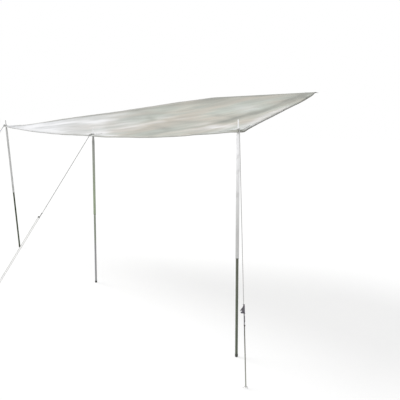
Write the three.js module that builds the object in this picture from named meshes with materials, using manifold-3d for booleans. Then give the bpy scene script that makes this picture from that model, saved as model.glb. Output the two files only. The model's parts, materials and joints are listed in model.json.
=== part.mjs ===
// Trailer kitchen awning: a canvas canopy that zips on along a roof edge and is held out by three
// telescopic poles, each guyed to its own peg.
// Millimetres, +Z up. The origin is the middle of the mounting tape's top face, +X runs along the
// zip towards the near pole, and -Y points out from the roof edge towards the row of poles.
import * as THREE from 'three';
import { mergeVertices } from 'three/addons/utils/BufferGeometryUtils.js';
import Module from 'manifold-3d';

const wasm = await Module();
wasm.setup();

// Where the awning stands
const seamHeight = 2400;
const seamLength = 1560;
const projection = 1880;
const nearReach = 1043;
const middleReach = 1160;
const farReach = 3550;
const middleSet = 60;
const cornerHeight = 2000;
const middleHeight = 1912;

// How far each pole's foot stands from under its eyelet, along X
const nearLean = 29;
const middleLean = -120;
const farLean = 70;

// Canvas
const sheet = 4;
const overhang = 32;
const tipOverhang = 22;
const flatHalf = 18;
const hemDrop = 12;
const cornerSpan = 46;
const cornerCut = 13;
const hemLead = 120;
const outerSag = 28;
const farSag = 14;
const bellySag = 26;
const foldDepth = 26;
const foldWidth = 170;
const webbingThick = 2;
const patchReach = 190;
const patchThick = 1.5;
const layerGap = 0.3;

// Eyelets
const eyeletBore = 6.5;
const eyeletBarrel = 8;
const eyeletFlange = 13;
const flangeThick = 1.5;
const eyeletHole = 8.4;

// Zip
const tapeWidth = 28;
const tapeThick = 2;
const teethWidth = 4.9;
const teethHeight = 5;
const teethSplit = 1.6;
const canvasLap = 20;
const sliderLength = 34;
const sliderWidth = 18;
const sliderPlate = 2.5;
const sliderClear = 0.5;
const sliderPark = 150;
const postWidth = 1;
const postLength = 8;
const archWidth = 7;
const archHeight = 5.5;
const archHole = 4;
const archHoleHeight = 3.6;
const archThick = 3;
const pullLength = 34;
const pullWidth = 9;
const pullThick = 2;
const pullHole = 7.5;
const pullSide = 2.3;

// Poles
const tubeRadius = 15;
const tubeWall = 1.2;
const legRadius = 12;
const legTop = 1180;
const jointHeight = 930;
const spikeRadius = 5;
const spikeTipRadius = 3.5;
const spikeHeight = 86;
const spikeRoot = 60;
const spikeFit = 0.3;
const shoulderRadius = 9;
const shoulderFall = 2.8;
const taperLength = 88;
const plugDepth = 40;
const fit = 0.3;
const bushLength = 40;
const bushFlange = 3;
const coreLength = 50;
const spindleRadius = 6;
const spindleShift = 0.5;
const lockRingRadius = 12.9;
const lockRingHeight = 24;
const lockTurnShare = 106 / 360;
const coreCap = 4;
const footRadius = 13.4;
const footHeight = 26;
const footSole = 7;

// Guy ropes
const ropeRadius = 3;
const loopRadius = 11;
const strandGap = 14.6;
const hookRise = 16;
const turnLift = 12;
const nearPeg = [1384, -2167];
const middlePeg = [-1950, -2837];
const farPeg = [-4020, -3242];
const nearRunner = 602;
const middleRunner = 1106;
const farRunner = 1185;
const knotRadius = 6.5;
const knotLength = 15;
const hemClear = 6;

// Runners
const runnerHeight = 70;
const runnerWidth = 32;
const runnerThick = 2.5;
const lugThick = 2.5;
const lugRadius = 7.5;
const lugHole = 4.2;
const runnerShares = [
  [-0.24, 1], [0.24, 1], [1, -0.35], [0.85, -0.5], [0.78, -1], [-0.24, -1],
];

// Spring in the near guy rope
const springRadius = 4;
const wireRadius = 0.8;
const springCurls = 14;
const springBody = 42;
const springEnd = 22;

// Pegs
const pegRadius = 4;
const pegBack = 14;
const pegArm = 20;
const pegTip = 9;
const pegDepth = 230;

// Finish of each kind of piece
const canvasColour = 0xc9c8bb;
const hemColour = 0x8f8f7f;
const brassColour = 0xb9a26a;
const zipColour = 0x1c1c1a;
const steelColour = 0xc9cacc;
const legColour = 0x7c7e73;
const rubberColour = 0x2b2c2a;
const nylonColour = 0x3b3c3a;
const ropeColour = 0xdedcd4;
const tailColour = 0xa3a399;
const ironColour = 0x66666b;
const facets = 18;
const fineFacets = 16;
const ropeSides = 8;
const strandSteps = 24;
const leaderSteps = 12;
const pegSteps = 16;

const awning = new THREE.Group();

function finish(colour, roughness, metalness) {
  return new THREE.MeshStandardMaterial({ color: colour, roughness, metalness });
}

const canvas = finish(canvasColour, 0.9, 0);
const webbing = finish(hemColour, 0.85, 0);
const brass = finish(brassColour, 0.35, 1);
const zipTape = finish(zipColour, 0.8, 0);
const steel = finish(steelColour, 0.35, 1);
const paintedLeg = finish(legColour, 0.45, 0.4);
const rubber = finish(rubberColour, 0.85, 0);
const nylon = finish(nylonColour, 0.5, 0);
const rope = finish(ropeColour, 0.85, 0);
const tailRope = finish(tailColour, 0.85, 0);
const iron = finish(ironColour, 0.5, 0.9);

function addPiece(name, geometry, material, parent = awning) {
  const mesh = new THREE.Mesh(geometry, material);
  mesh.name = name;
  parent.add(mesh);
  return mesh;
}

// Booleans
function welded(geometry) {
  const bare = geometry.clone();
  bare.deleteAttribute('normal');
  bare.deleteAttribute('uv');
  return mergeVertices(bare, layerGap / 1000);
}

function toSolid(geometry) {
  const bare = welded(geometry);
  return new wasm.Manifold(new wasm.Mesh({
    numProp: 3,
    vertProperties: new Float32Array(bare.attributes.position.array),
    triVerts: new Uint32Array(bare.index.array),
  }));
}

function toGeometry(solid) {
  const mesh = solid.getMesh();
  const geometry = new THREE.BufferGeometry();
  geometry.setAttribute('position', new THREE.BufferAttribute(mesh.vertProperties, 3));
  geometry.setIndex(new THREE.BufferAttribute(mesh.triVerts, 1));
  return geometry;
}

function cut(geometry, ...tools) {
  const left = tools.reduce((body, tool) => body.subtract(toSolid(tool)), toSolid(geometry));
  return toGeometry(left);
}

function join(...geometries) {
  const [first, ...rest] = geometries.map(toSolid);
  return toGeometry(rest.reduce((body, next) => body.add(next), first));
}

function uprightRod(radius, height, sides = facets) {
  return new THREE.CylinderGeometry(radius, radius, height, sides).rotateX(Math.PI / 2);
}

// A turned piece from [radius, height] points, standing on the Z axis
function turned(points, sides = facets) {
  const profile = points.map(([r, h]) => new THREE.Vector2(r, h));
  return welded(new THREE.LatheGeometry(profile, sides).rotateX(Math.PI / 2));
}

function turnedRing(inner, outer, low, high, sides = facets) {
  const corners = [[inner, low], [outer, low], [outer, high], [inner, high], [inner, low]];
  return turned(corners, sides);
}

// The canvas in plan
const seamLine = -(tapeWidth / 2 + layerGap + teethWidth + teethSplit / 2);
const tapeEnd = tapeWidth * 1.5 + layerGap * 2 + teethWidth * 2 + teethSplit;
const innerDepth = tapeEnd - canvasLap;
const restDepth = tapeEnd + layerGap * 10;
const outerDepth = projection + overhang;
const eyeletDepth = projection - flatHalf;
const canvasMid = layerGap + sheet / 2;
const cornerZ = cornerHeight - seamHeight;
const middleZ = middleHeight - seamHeight;

function mix(a, b, share) {
  return a + (b - a) * share;
}

function limit(share) {
  return Math.min(1, Math.max(0, share));
}

function downShare(depth) {
  return limit((depth - restDepth) / (eyeletDepth - restDepth));
}

function nearEdge(depth) {
  return mix(seamLength / 2, nearReach + overhang, downShare(depth));
}

function farEdge(depth) {
  return mix(-seamLength / 2, -farReach - tipOverhang, downShare(depth));
}

function crossShare(x, depth) {
  return (x - farEdge(depth)) / (nearEdge(depth) - farEdge(depth));
}

// The edge between poles is pulled in at the middle pole
function edgeSet(x) {
  const span = x > -middleReach ? nearReach + middleReach : farReach - middleReach;
  return middleSet * Math.max(0, 1 - Math.abs(x + middleReach) / span);
}

// How far along its span a point of the outer edge is, counted from the middle pole
function spanShare(x) {
  const span = x > -middleReach ? nearReach + middleReach : farReach - middleReach;
  return limit(Math.abs(x + middleReach) / span);
}

// Folds drawn into the canvas: each runs from one share of the seam to one share of the outer edge
const foldShares = [
  { from: 0.97, to: 0.865, weight: 1, wide: 1 },
  { from: 0.9, to: 0.76, weight: -0.45, wide: 1.3 },
  { from: 0.42, to: 0.3, weight: 0.55, wide: 2 },
  { from: 0.12, to: 0.16, weight: -0.3, wide: 2 },
];

function foldHeight(share, depth) {
  const down = downShare(depth);
  const width = nearEdge(depth) - farEdge(depth);
  const fade = Math.sin(Math.PI * down ** 0.8);
  return foldShares.reduce((height, fold) => {
    const away = (share - mix(fold.from, fold.to, down)) * width / (foldWidth * fold.wide);
    return height - fold.weight * foldDepth * fade * Math.exp(-away * away);
  }, 0);
}

// Height of the canvas: ruled lines from the seam to the outer edge, with its sag, belly and folds
function canvasHeight(x, depth) {
  const down = downShare(depth);
  if (down === 0) return canvasMid;
  const share = crossShare(x, depth);
  const along = spanShare(mix(farEdge(outerDepth), nearEdge(outerDepth), share));
  const sag = 4 * outerSag * along * (1 - along) * down * down;
  const belly = 4 * bellySag * share * (1 - share) * Math.sin(Math.PI * down);
  const dip = farSag * (1 - share) ** 4 * Math.sin(Math.PI * down ** 1.5);
  const ruled = mix(canvasMid, mix(middleZ, cornerZ, along), down);
  return ruled - sag - belly - dip + foldHeight(share, depth);
}

// The canvas grid: columns run from the seam to the outer edge, rows along the seam. Round each
// eyelet four lines close in on it, so the canvas is flat under the eyelet's flanges.
const eyelets = {
  near: { x: nearReach, y: -projection, z: cornerZ },
  middle: { x: -middleReach, y: -projection + middleSet, z: middleZ },
  far: { x: -farReach, y: -projection, z: cornerZ },
};

function columnLines() {
  const count = 28;
  const middle = crossShare(-middleReach, projection);
  const lines = [];
  for (let k = 1; k < count; k += 1) {
    if (Math.abs(k - middle * count) > 0.3) lines.push({ share: k / count, shift: 0 });
  }
  const nearShift = nearReach - nearEdge(projection);
  const farShift = -farReach - farEdge(projection);
  lines.push(
    { share: middle, shift: -flatHalf }, { share: middle, shift: flatHalf },
    { share: 0, shift: 0 }, { share: 0, shift: farShift - flatHalf },
    { share: 0, shift: farShift + flatHalf }, { share: 1, shift: nearShift - flatHalf },
    { share: 1, shift: nearShift + flatHalf }, { share: 1, shift: 0 },
  );
  return lines.sort((a, b) => a.share - b.share || a.shift - b.shift);
}

function rowLines() {
  const count = 10;
  const depths = [innerDepth, restDepth];
  for (let k = 1; k < count; k += 1) depths.push(mix(restDepth, eyeletDepth, k / count));
  depths.push(eyeletDepth, projection + flatHalf, outerDepth);
  return depths;
}

const columns = columnLines();
const rows = rowLines();

function gridX(column, depth) {
  return mix(farEdge(depth), nearEdge(depth), column.share) + column.shift;
}

function eyeletAt(x, depth) {
  const reach = flatHalf * 1.05;
  return Object.values(eyelets)
    .find((eye) => Math.abs(x - eye.x) < reach && Math.abs(depth - projection) < reach);
}

// The hem hangs from the outer edge and from the near edge
function hemFall(x, depth) {
  const lip = overhang - flatHalf;
  const outside = limit((depth - projection - flatHalf) / lip);
  const pastNear = limit((x - nearEdge(depth) + lip) / lip) * limit((depth - restDepth) / hemLead);
  return hemDrop * Math.max(outside, pastNear);
}

// The near corner is rounded: its points are drawn inwards
function cornerPull(x, depth) {
  const aside = limit(1 - (nearEdge(depth) - x) / cornerSpan);
  const outward = limit(1 - (outerDepth - depth) / cornerSpan);
  return cornerCut * (aside * outward) ** 2;
}

function gridPoint(column, depth) {
  const x = gridX(column, depth);
  const y = -depth + edgeSet(x) * downShare(depth);
  const pull = cornerPull(x, depth);
  const eye = eyeletAt(x, depth);
  const height = eye ? eye.z : canvasHeight(x, depth);
  return [x - pull, y + pull, height - hemFall(x, depth)];
}

// The outline of a grid, as places in its list of points
function rimOf(across, down) {
  const rim = [];
  for (let i = 0; i < across; i += 1) rim.push(i);
  for (let j = 1; j < down; j += 1) rim.push(j * across + across - 1);
  for (let i = across - 2; i >= 0; i -= 1) rim.push((down - 1) * across + i);
  for (let j = down - 2; j >= 1; j -= 1) rim.push(j * across);
  return rim;
}

function gridFaces(across, down) {
  const count = across * down;
  const index = [];
  const quad = (a, b, c, d) => index.push(a, b, c, a, c, d);
  for (let j = 0; j + 1 < down; j += 1) {
    for (let i = 0; i + 1 < across; i += 1) {
      const a = j * across + i;
      quad(a + across, a + across + 1, a + 1, a);
      quad(count + a + 1, count + a + across + 1, count + a + across, count + a);
    }
  }
  const rim = rimOf(across, down);
  rim.forEach((a, k) => {
    const b = rim[(k + 1) % rim.length];
    quad(a, b, count + b, count + a);
  });
  return index;
}

// A layer of the canvas between two heights over its middle, on part of the grid
function layer(columnPart, rowPart, low, high) {
  const points = rowPart.flatMap((depth) => columnPart.map((column) => gridPoint(column, depth)));
  const positions = [high, low].flatMap((rise) => points.flatMap(([x, y, z]) => [x, y, z + rise]));
  const geometry = new THREE.BufferGeometry();
  geometry.setAttribute('position', new THREE.Float32BufferAttribute(positions, 3));
  geometry.setIndex(gridFaces(columnPart.length, rowPart.length));
  return geometry;
}

function eyeletHoles() {
  return Object.values(eyelets).map((eye) => uprightRod(eyeletHole, hemDrop * 4)
    .translate(eye.x, eye.y, eye.z));
}

const sheetTop = sheet / 2;
const patchTop = sheetTop + layerGap + patchThick;
const webbingLow = -sheetTop - layerGap - webbingThick;

function buildCanvas() {
  const whole = layer(columns, rows, -sheetTop, sheetTop);
  addPiece('canopy_sheet', cut(whole, ...eyeletHoles()), canvas);
  const top = webbingLow + webbingThick;
  const under = (columnPart, rowPart) => layer(columnPart, rowPart, webbingLow, top);
  const outerRows = rows.filter((depth) => depth >= eyeletDepth);
  addPiece('outer_edge_webbing', cut(under(columns, outerRows), ...eyeletHoles()), webbing);
  const sideRows = rows.filter((depth) => depth >= restDepth && depth < eyeletDepth);
  sideRows.push(eyeletDepth - layerGap);
  addPiece('near_edge_webbing', under(columns.slice(-3), sideRows), webbing);
  addPiece('far_edge_webbing', under(columns.slice(0, 3), sideRows), webbing);
}

// A reinforcing patch is the part of a layer inside an outline round the eyelet
function patch(eye, outline) {
  const shape = new THREE.Shape(outline.map(([x, y]) => new THREE.Vector2(eye.x + x, eye.y + y)));
  const prism = new THREE.ExtrudeGeometry(shape, { depth: hemDrop * 20, bevelEnabled: false });
  prism.translate(0, 0, eye.z - hemDrop * 10);
  const over = layer(columns, rows, sheetTop + layerGap, patchTop);
  return cut(toGeometry(toSolid(over).intersect(toSolid(prism))), ...eyeletHoles());
}

function buildPatches() {
  const r = patchReach;
  const o = overhang * 2;
  addPiece('near_corner_patch', patch(eyelets.near, [[o, -o], [o, r], [-r, -o]]), canvas);
  const blunt = [[r / 2, -o], [r / 4, r / 2], [-r / 4, r / 2], [-r / 2, -o]];
  addPiece('middle_patch', patch(eyelets.middle, blunt), canvas);
  addPiece('far_corner_patch', patch(eyelets.far, [[-o, -o], [r, -o], [r, r], [-o, r / 4]]), canvas);
}

// An eyelet and its washer, closed over the patch, the canvas and the webbing
const flangeTop = patchTop + layerGap + flangeThick;
const flangeLow = webbingLow - layerGap - flangeThick;

function buildEyelets() {
  const profile = [
    [eyeletBore, flangeLow], [eyeletFlange, flangeLow], [eyeletFlange, flangeLow + flangeThick],
    [eyeletBarrel, flangeLow + flangeThick], [eyeletBarrel, flangeTop - flangeThick],
    [eyeletFlange, flangeTop - flangeThick], [eyeletFlange, flangeTop], [eyeletBore, flangeTop],
    [eyeletBore, flangeLow],
  ];
  for (const [name, eye] of Object.entries(eyelets)) {
    const piece = addPiece(`${name}_eyelet`, turned(profile), brass);
    piece.position.set(eye.x, eye.y, eye.z);
  }
}

// Zip: two tapes, each with its half of the teeth, and a slider whose post runs between them
function box(x, y, z) {
  return new THREE.BoxGeometry(x, y, z);
}

function buildZip() {
  const tape = box(seamLength, tapeWidth, tapeThick);
  const teeth = box(seamLength, teethWidth, teethHeight);
  const mountTape = addPiece('mounting_tape', tape, zipTape);
  mountTape.position.set(0, 0, -tapeThick / 2);
  const canopyTape = addPiece('canopy_zip_tape', tape, zipTape);
  canopyTape.position.set(0, seamLine * 2, -tapeThick / 2);
  const halfWay = (teethSplit + teethWidth) / 2;
  const mountTeeth = addPiece('mounting_zip_teeth', teeth, zipTape);
  mountTeeth.position.set(0, seamLine + halfWay, -tapeThick / 2);
  const canopyTeeth = addPiece('canopy_zip_teeth', teeth, zipTape);
  canopyTeeth.position.set(0, seamLine - halfWay, -tapeThick / 2);
}

const plateLift = -tapeThick / 2 + teethHeight / 2 + sliderClear;

function buildSlider() {
  const slider = new THREE.Group();
  slider.position.set(seamLength / 2 - sliderPark, seamLine, 0);
  awning.add(slider);
  const high = box(sliderLength, sliderWidth, sliderPlate).translate(0, 0, plateLift + sliderPlate / 2);
  const low = high.clone().translate(0, 0, -tapeThick - plateLift * 2 - sliderPlate);
  const post = box(postLength, postWidth, plateLift * 2 + tapeThick + sliderPlate)
    .translate((sliderLength - postLength) / 2, 0, -tapeThick / 2);
  const arch = cut(
    box(archWidth, archThick, archHeight + sliderPlate / 2)
      .translate(0, 0, plateLift + sliderPlate + archHeight / 2 - sliderPlate / 4),
    box(archHole, archThick * 2, archHoleHeight)
      .translate(0, 0, plateLift + sliderPlate + archHoleHeight / 2),
  );
  addPiece('zip_slider', join(high, low, post, arch), steel, slider);
  const outline = new THREE.Shape();
  const half = pullWidth / 2;
  const pivot = pullThick / 2;
  outline.moveTo(-pivot, -half).lineTo(pullLength - half, -half);
  outline.absarc(pullLength - half, 0, half, -Math.PI / 2, Math.PI / 2, false);
  outline.lineTo(-pivot, half);
  const window = new THREE.Path();
  const inside = half - pullSide;
  window.moveTo(pivot, -inside).lineTo(pivot, inside);
  window.lineTo(pivot + pullHole, inside).lineTo(pivot + pullHole, -inside);
  outline.holes.push(window);
  const options = { depth: pullThick, bevelEnabled: false, curveSegments: 6 };
  const tab = new THREE.ExtrudeGeometry(outline, options);
  tab.translate(0, 0, plateLift + sliderPlate + archHoleHeight / 2 - pullThick / 2);
  addPiece('zip_pull', welded(tab), steel, slider);
}

// Poles, each in a group that hangs down its own axis from the underside of its eyelet
const shoulderTop = flangeLow;
const tubeBore = tubeRadius - tubeWall;

function poleFrame(eye, lean) {
  const top = new THREE.Vector3(eye.x, eye.y, eye.z + shoulderTop);
  const foot = new THREE.Vector3(eye.x + lean, eye.y, -seamHeight);
  const up = top.clone().sub(foot);
  const group = new THREE.Group();
  group.position.copy(top);
  group.quaternion.setFromUnitVectors(new THREE.Vector3(0, 0, 1), up.clone().normalize());
  return { group, length: up.length() };
}

function buildPole(name, eye, lean) {
  const { group, length } = poleFrame(eye, lean);
  awning.add(group);
  const tubeEnd = -(length - jointHeight);
  const legEnd = -length + footSole + fit;
  const legHead = -length + legTop;
  const bushRadius = tubeBore - fit;
  addPiece(`${name}_spike`, turned([
    [0, -spikeRoot], [spikeRadius, -spikeRoot], [spikeRadius, spikeHeight - shoulderTop - spikeRadius],
    [spikeTipRadius, spikeHeight - shoulderTop], [0, spikeHeight - shoulderTop],
  ], fineFacets), steel, group);
  const plugBore = spikeRadius + spikeFit;
  addPiece(`${name}_top_plug`, turned([
    [plugBore, -taperLength - plugDepth], [bushRadius, -taperLength - plugDepth],
    [bushRadius, -taperLength], [tubeRadius, -taperLength], [shoulderRadius, -shoulderFall],
    [plugBore, 0], [plugBore, -taperLength - plugDepth],
  ]), steel, group);
  const upperTube = turnedRing(tubeBore, tubeRadius, tubeEnd, -taperLength - fit);
  addPiece(`${name}_upper_tube`, upperTube, steel, group);
  addPiece(`${name}_tube_bush`, turned([
    [legRadius + fit, tubeEnd - fit - bushFlange], [tubeRadius, tubeEnd - fit - bushFlange],
    [tubeRadius, tubeEnd - fit], [bushRadius, tubeEnd - fit], [bushRadius, tubeEnd + bushLength],
    [legRadius + fit, tubeEnd + bushLength], [legRadius + fit, tubeEnd - fit - bushFlange],
  ]), nylon, group);
  const legTube = turnedRing(legRadius - tubeWall, legRadius, legEnd, legHead);
  addPiece(`${name}_leg_tube`, legTube, paintedLeg, group);
  addPiece(`${name}_foot_cap`, turned([
    [0, -length], [footRadius * 0.85, -length], [footRadius, -length + footSole / 2],
    [footRadius, -length + footHeight], [legRadius + fit, -length + footHeight],
    [legRadius + fit, -length + footSole], [0, -length + footSole],
  ]), rubber, group);
  buildLock(name, legHead, group);
}

// The lock inside the tubes: a core in the head of the leg carries a ring on an off-centre spindle
function buildLock(name, legHead, group) {
  const stem = legRadius - tubeWall - fit;
  const spindle = uprightRod(spindleRadius, lockRingHeight + fit * 3 + coreCap)
    .translate(spindleShift, 0, legHead + (lockRingHeight + fit * 3 + coreCap) / 2);
  const seat = turned([[0, legHead - coreLength], [stem, legHead - coreLength], [stem, legHead + fit],
    [legRadius, legHead + fit], [legRadius, legHead + fit + coreCap], [0, legHead + fit + coreCap]]);
  const ringLow = legHead + fit * 2 + coreCap;
  const cap = uprightRod(legRadius - spindleShift, coreCap)
    .translate(0, 0, ringLow + lockRingHeight + fit + coreCap / 2);
  spindle.translate(0, 0, coreCap + fit);
  addPiece(`${name}_lock_core`, join(seat, spindle, cap), nylon, group);
  const turn = lockTurnShare * 2 * Math.PI;
  const ring = cut(
    uprightRod(lockRingRadius, lockRingHeight)
      .translate(spindleShift * Math.cos(turn), spindleShift * Math.sin(turn), 0),
    uprightRod(spindleRadius + fit, lockRingHeight * 2),
  );
  const piece = addPiece(`${name}_lock_ring`, ring, rubber, group);
  piece.position.set(spindleShift, 0, ringLow + lockRingHeight / 2);
}

// A tube along route points: rings stand where the points stand, closer in the bends
class Route extends THREE.CatmullRomCurve3 {
  getPointAt(u, target) { return this.getPoint(u, target); }
  getTangentAt(u, target) { return this.getTangent(u, target); }
  getSpacedPoints(count) { return this.getPoints(count); }
}

function tubeOutline(radius, sides) {
  const shape = new THREE.Shape();
  for (let k = 0; k < sides; k += 1) {
    const turn = 2 * Math.PI * k / sides;
    const x = radius * Math.cos(turn);
    const y = radius * Math.sin(turn);
    if (k === 0) shape.moveTo(x, y);
    else shape.lineTo(x, y);
  }
  return shape;
}

function tube(curve, radius, steps, sides = ropeSides) {
  const options = { steps, extrudePath: curve, bevelEnabled: false };
  return welded(new THREE.ExtrudeGeometry(tubeOutline(radius, sides), options));
}

// Guy ropes. Each stands in a plane of its own: out is the level way from the eyelet to the peg,
// up runs along the rope to the pole, side is level and square to both, and the tail lies off
// the strand along pair, in the rope's own plane.
function guyFrame(eye, peg) {
  const out = new THREE.Vector3(peg[0] - eye.x, peg[1] - eye.y, 0).normalize();
  const edgeReach = Math.min(overhang / Math.abs(out.x), overhang / Math.abs(out.y));
  const flatReach = flatHalf / Math.max(Math.abs(out.x), Math.abs(out.y));
  const centre = new THREE.Vector3(eye.x, eye.y, eye.z);
  const at = (reach, rise) => centre.clone().addScaledVector(out, reach).add(new THREE.Vector3(0, 0, rise));
  const edgeTop = patchTop - hemDrop;
  const hem = at(edgeReach + hemClear, edgeTop - hemClear);
  const side = new THREE.Vector3(out.y, -out.x, 0);
  const hook = new THREE.Vector3(peg[0], peg[1], hookRise - seamHeight);
  const up = hem.clone().sub(hook).normalize();
  const pair = new THREE.Vector3().crossVectors(up, side);
  const strandFoot = hook.clone().addScaledVector(pair, -strandGap / 2);
  strandFoot.addScaledVector(up, turnLift + fit);
  up.copy(hem).sub(strandFoot).normalize();
  pair.crossVectors(up, side);
  const strandHead = hem.clone().addScaledVector(up, -ropeRadius * 3);
  return { edgeReach, flatReach, at, edgeTop, hem, side, pair, hook, strandHead, strandFoot, up };
}

function buildRopeEye(name, frame) {
  const rise = flangeTop + layerGap + ropeRadius;
  const ring = new THREE.TorusGeometry(loopRadius, ropeRadius, ropeSides, fineFacets);
  const middle = frame.at(0, rise);
  ring.translate(middle.x, middle.y, middle.z);
  const points = [
    frame.at(loopRadius, rise), frame.at(frame.flatReach + ropeRadius / 2, rise),
    frame.at(frame.edgeReach + hemClear / 2, frame.edgeTop + ropeRadius * 1.5),
    frame.hem, frame.strandHead,
  ];
  const leader = tube(new Route(points, false, 'centripetal'), ropeRadius, leaderSteps);
  addPiece(`${name}_rope_eye`, join(ring, leader), rope);
}

function buildStrand(name, frame) {
  const start = frame.strandHead.clone().addScaledVector(frame.up, -fit);
  const line = new THREE.LineCurve3(start, frame.strandFoot);
  addPiece(`${name}_guy_rope`, tube(line, ropeRadius, strandSteps), rope);
}

// The tail turns under the peg's hook and comes back up beside the strand to the runner
function buildTail(name, frame, reach) {
  const half = strandGap / 2;
  const place = (s, w) => frame.hook.clone()
    .addScaledVector(frame.pair, s).addScaledVector(frame.up, w);
  const points = [place(-half, turnLift), place(-half, turnLift / 2)];
  const turns = 6;
  for (let k = 0; k <= turns; k += 1) {
    const angle = Math.PI * (1 + k / turns);
    points.push(place(half * Math.cos(angle), half * Math.sin(angle)));
  }
  points.push(place(half, turnLift / 2), place(half, turnLift * 2));
  const runs = 12;
  for (let k = 1; k <= runs; k += 1) points.push(place(half, mix(turnLift * 2, reach, k / runs)));
  const route = new Route(points, false, 'centripetal');
  addPiece(`${name}_guy_tail`, tube(route, ropeRadius, points.length - 1), tailRope);
}

function guyGroup(frame, w) {
  const group = new THREE.Group();
  group.position.copy(frame.strandFoot).addScaledVector(frame.up, w);
  const outward = new THREE.Vector3().crossVectors(frame.up, frame.side);
  group.quaternion.setFromRotationMatrix(new THREE.Matrix4().makeBasis(frame.side, outward, frame.up));
  awning.add(group);
  return group;
}

// A folded steel runner: a barbed plate between the strands, with lugs that they run through
const plateFace = ropeRadius + fit * 2;

function runnerLug(w, reach, holes) {
  const tab = box(lugRadius * 2, reach, lugThick).translate(0, reach / 2, w);
  const ends = [0, reach].map((place) => uprightRod(lugRadius, lugThick).translate(0, place, w));
  return cut(join(tab, ...ends), ...holes
    .map((place) => uprightRod(lugHole, lugThick * 3).translate(0, place, w)));
}

function buildRunner(name, group, sprung) {
  const high = runnerHeight / 2;
  const shape = new THREE.Shape(runnerShares
    .map(([wide, tall]) => new THREE.Vector2(wide * runnerWidth, tall * high)));
  const plate = new THREE.ExtrudeGeometry(shape, { depth: runnerThick, bevelEnabled: false });
  plate.rotateX(Math.PI / 2).translate(0, plateFace + runnerThick, 0);
  const end = high - lugThick / 2;
  const upper = runnerLug(end, plateFace, [0]);
  const lower = runnerLug(-end, strandGap, sprung ? [0] : [0, strandGap]);
  addPiece(`${name}_runner`, join(plate, upper, lower), iron, group);
}

function buildKnot(name, group, w) {
  const neck = ropeRadius * 1.1;
  const profile = [[0, 0], [neck, 0], [knotRadius, knotLength * 0.25], [knotRadius, knotLength * 0.75],
    [neck, knotLength], [0, knotLength]];
  const knot = addPiece(`${name}_tail_knot`, turned(profile, fineFacets), tailRope, group);
  knot.position.set(0, strandGap, w);
}

// Spring: a helix of round wire whose ends come to the axis and run straight out
function springPoint(turns) {
  const angle = 2 * Math.PI * turns;
  const rise = springBody * turns / springCurls;
  return new THREE.Vector3(springRadius * Math.cos(angle), springRadius * Math.sin(angle), rise);
}

function springRoute() {
  const steps = 8;
  const points = [new THREE.Vector3(0, 0, -springEnd), new THREE.Vector3(0, 0, -springEnd + wireRadius * 2),
    new THREE.Vector3(springRadius / 2, 0, -wireRadius * 4)];
  for (let k = 0; k <= springCurls * steps; k += 1) points.push(springPoint(k / steps));
  points.push(new THREE.Vector3(springRadius / 2, 0, springBody + wireRadius * 4),
    new THREE.Vector3(0, 0, springBody + springEnd - wireRadius * 2),
    new THREE.Vector3(0, 0, springBody + springEnd));
  return points;
}

function leastGap(points, radius) {
  let least = Infinity;
  for (let i = 0; i < points.length; i += 1) {
    for (let j = i + 6; j < points.length; j += 1) least = Math.min(least, points[i].distanceTo(points[j]));
  }
  return least - radius * 2;
}

function buildSpring(group, w) {
  const points = springRoute();
  console.log('least gap between the spring\'s curls, mm:', leastGap(points, wireRadius).toFixed(2));
  const coil = tube(new Route(points, false, 'centripetal'), wireRadius, points.length - 1, 5);
  const spring = addPiece('near_guy_spring', coil, iron, group);
  spring.position.set(0, strandGap, w);
}

function buildPeg(name, frame) {
  const place = (n, z) => frame.hook.clone()
    .addScaledVector(frame.side, n).add(new THREE.Vector3(0, 0, z));
  const points = [
    place(-pegBack, -pegDepth), place(-pegBack, -pegDepth / 2), place(-pegBack, -hookRise),
    place(-pegBack * 0.75, -hookRise * 0.2), place(-pegBack * 0.45, 0),
    place(0, 0), place(pegArm * 0.6, 0), place(pegArm, -pegTip * 0.35), place(pegArm * 1.1, -pegTip),
  ];
  addPiece(`${name}_peg`, tube(new Route(points, false, 'centripetal'), pegRadius, pegSteps), steel);
}

function buildGuy(name, eye, peg, reach) {
  const frame = guyFrame(eye, peg);
  buildRopeEye(name, frame);
  buildStrand(name, frame);
  const group = guyGroup(frame, reach);
  const sprung = name === 'near';
  buildRunner(name, group, sprung);
  const base = -runnerHeight / 2;
  const springFoot = base - fit - springBody - springEnd;
  if (sprung) buildSpring(group, springFoot);
  const knotFoot = sprung ? springFoot - springEnd - fit - knotLength : base + lugThick + fit;
  buildKnot(name, group, knotFoot);
  buildTail(name, frame, turnLift + reach + knotFoot);
  buildPeg(name, frame);
}

buildCanvas();
buildPatches();
buildEyelets();
buildZip();
buildSlider();
buildPole('near', eyelets.near, nearLean);
buildPole('middle', eyelets.middle, middleLean);
buildPole('far', eyelets.far, farLean);
buildGuy('near', eyelets.near, nearPeg, nearRunner);
buildGuy('middle', eyelets.middle, middlePeg, middleRunner);
buildGuy('far', eyelets.far, farPeg, farRunner);

export default awning;
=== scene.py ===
"""Trailer kitchen awning: the visible pieces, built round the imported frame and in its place.

Metres, +Z up. The origin is the middle of the mounting tape's top face, +X runs along the zip
towards the near pole, and -Y points out towards the row of poles.
"""

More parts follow.
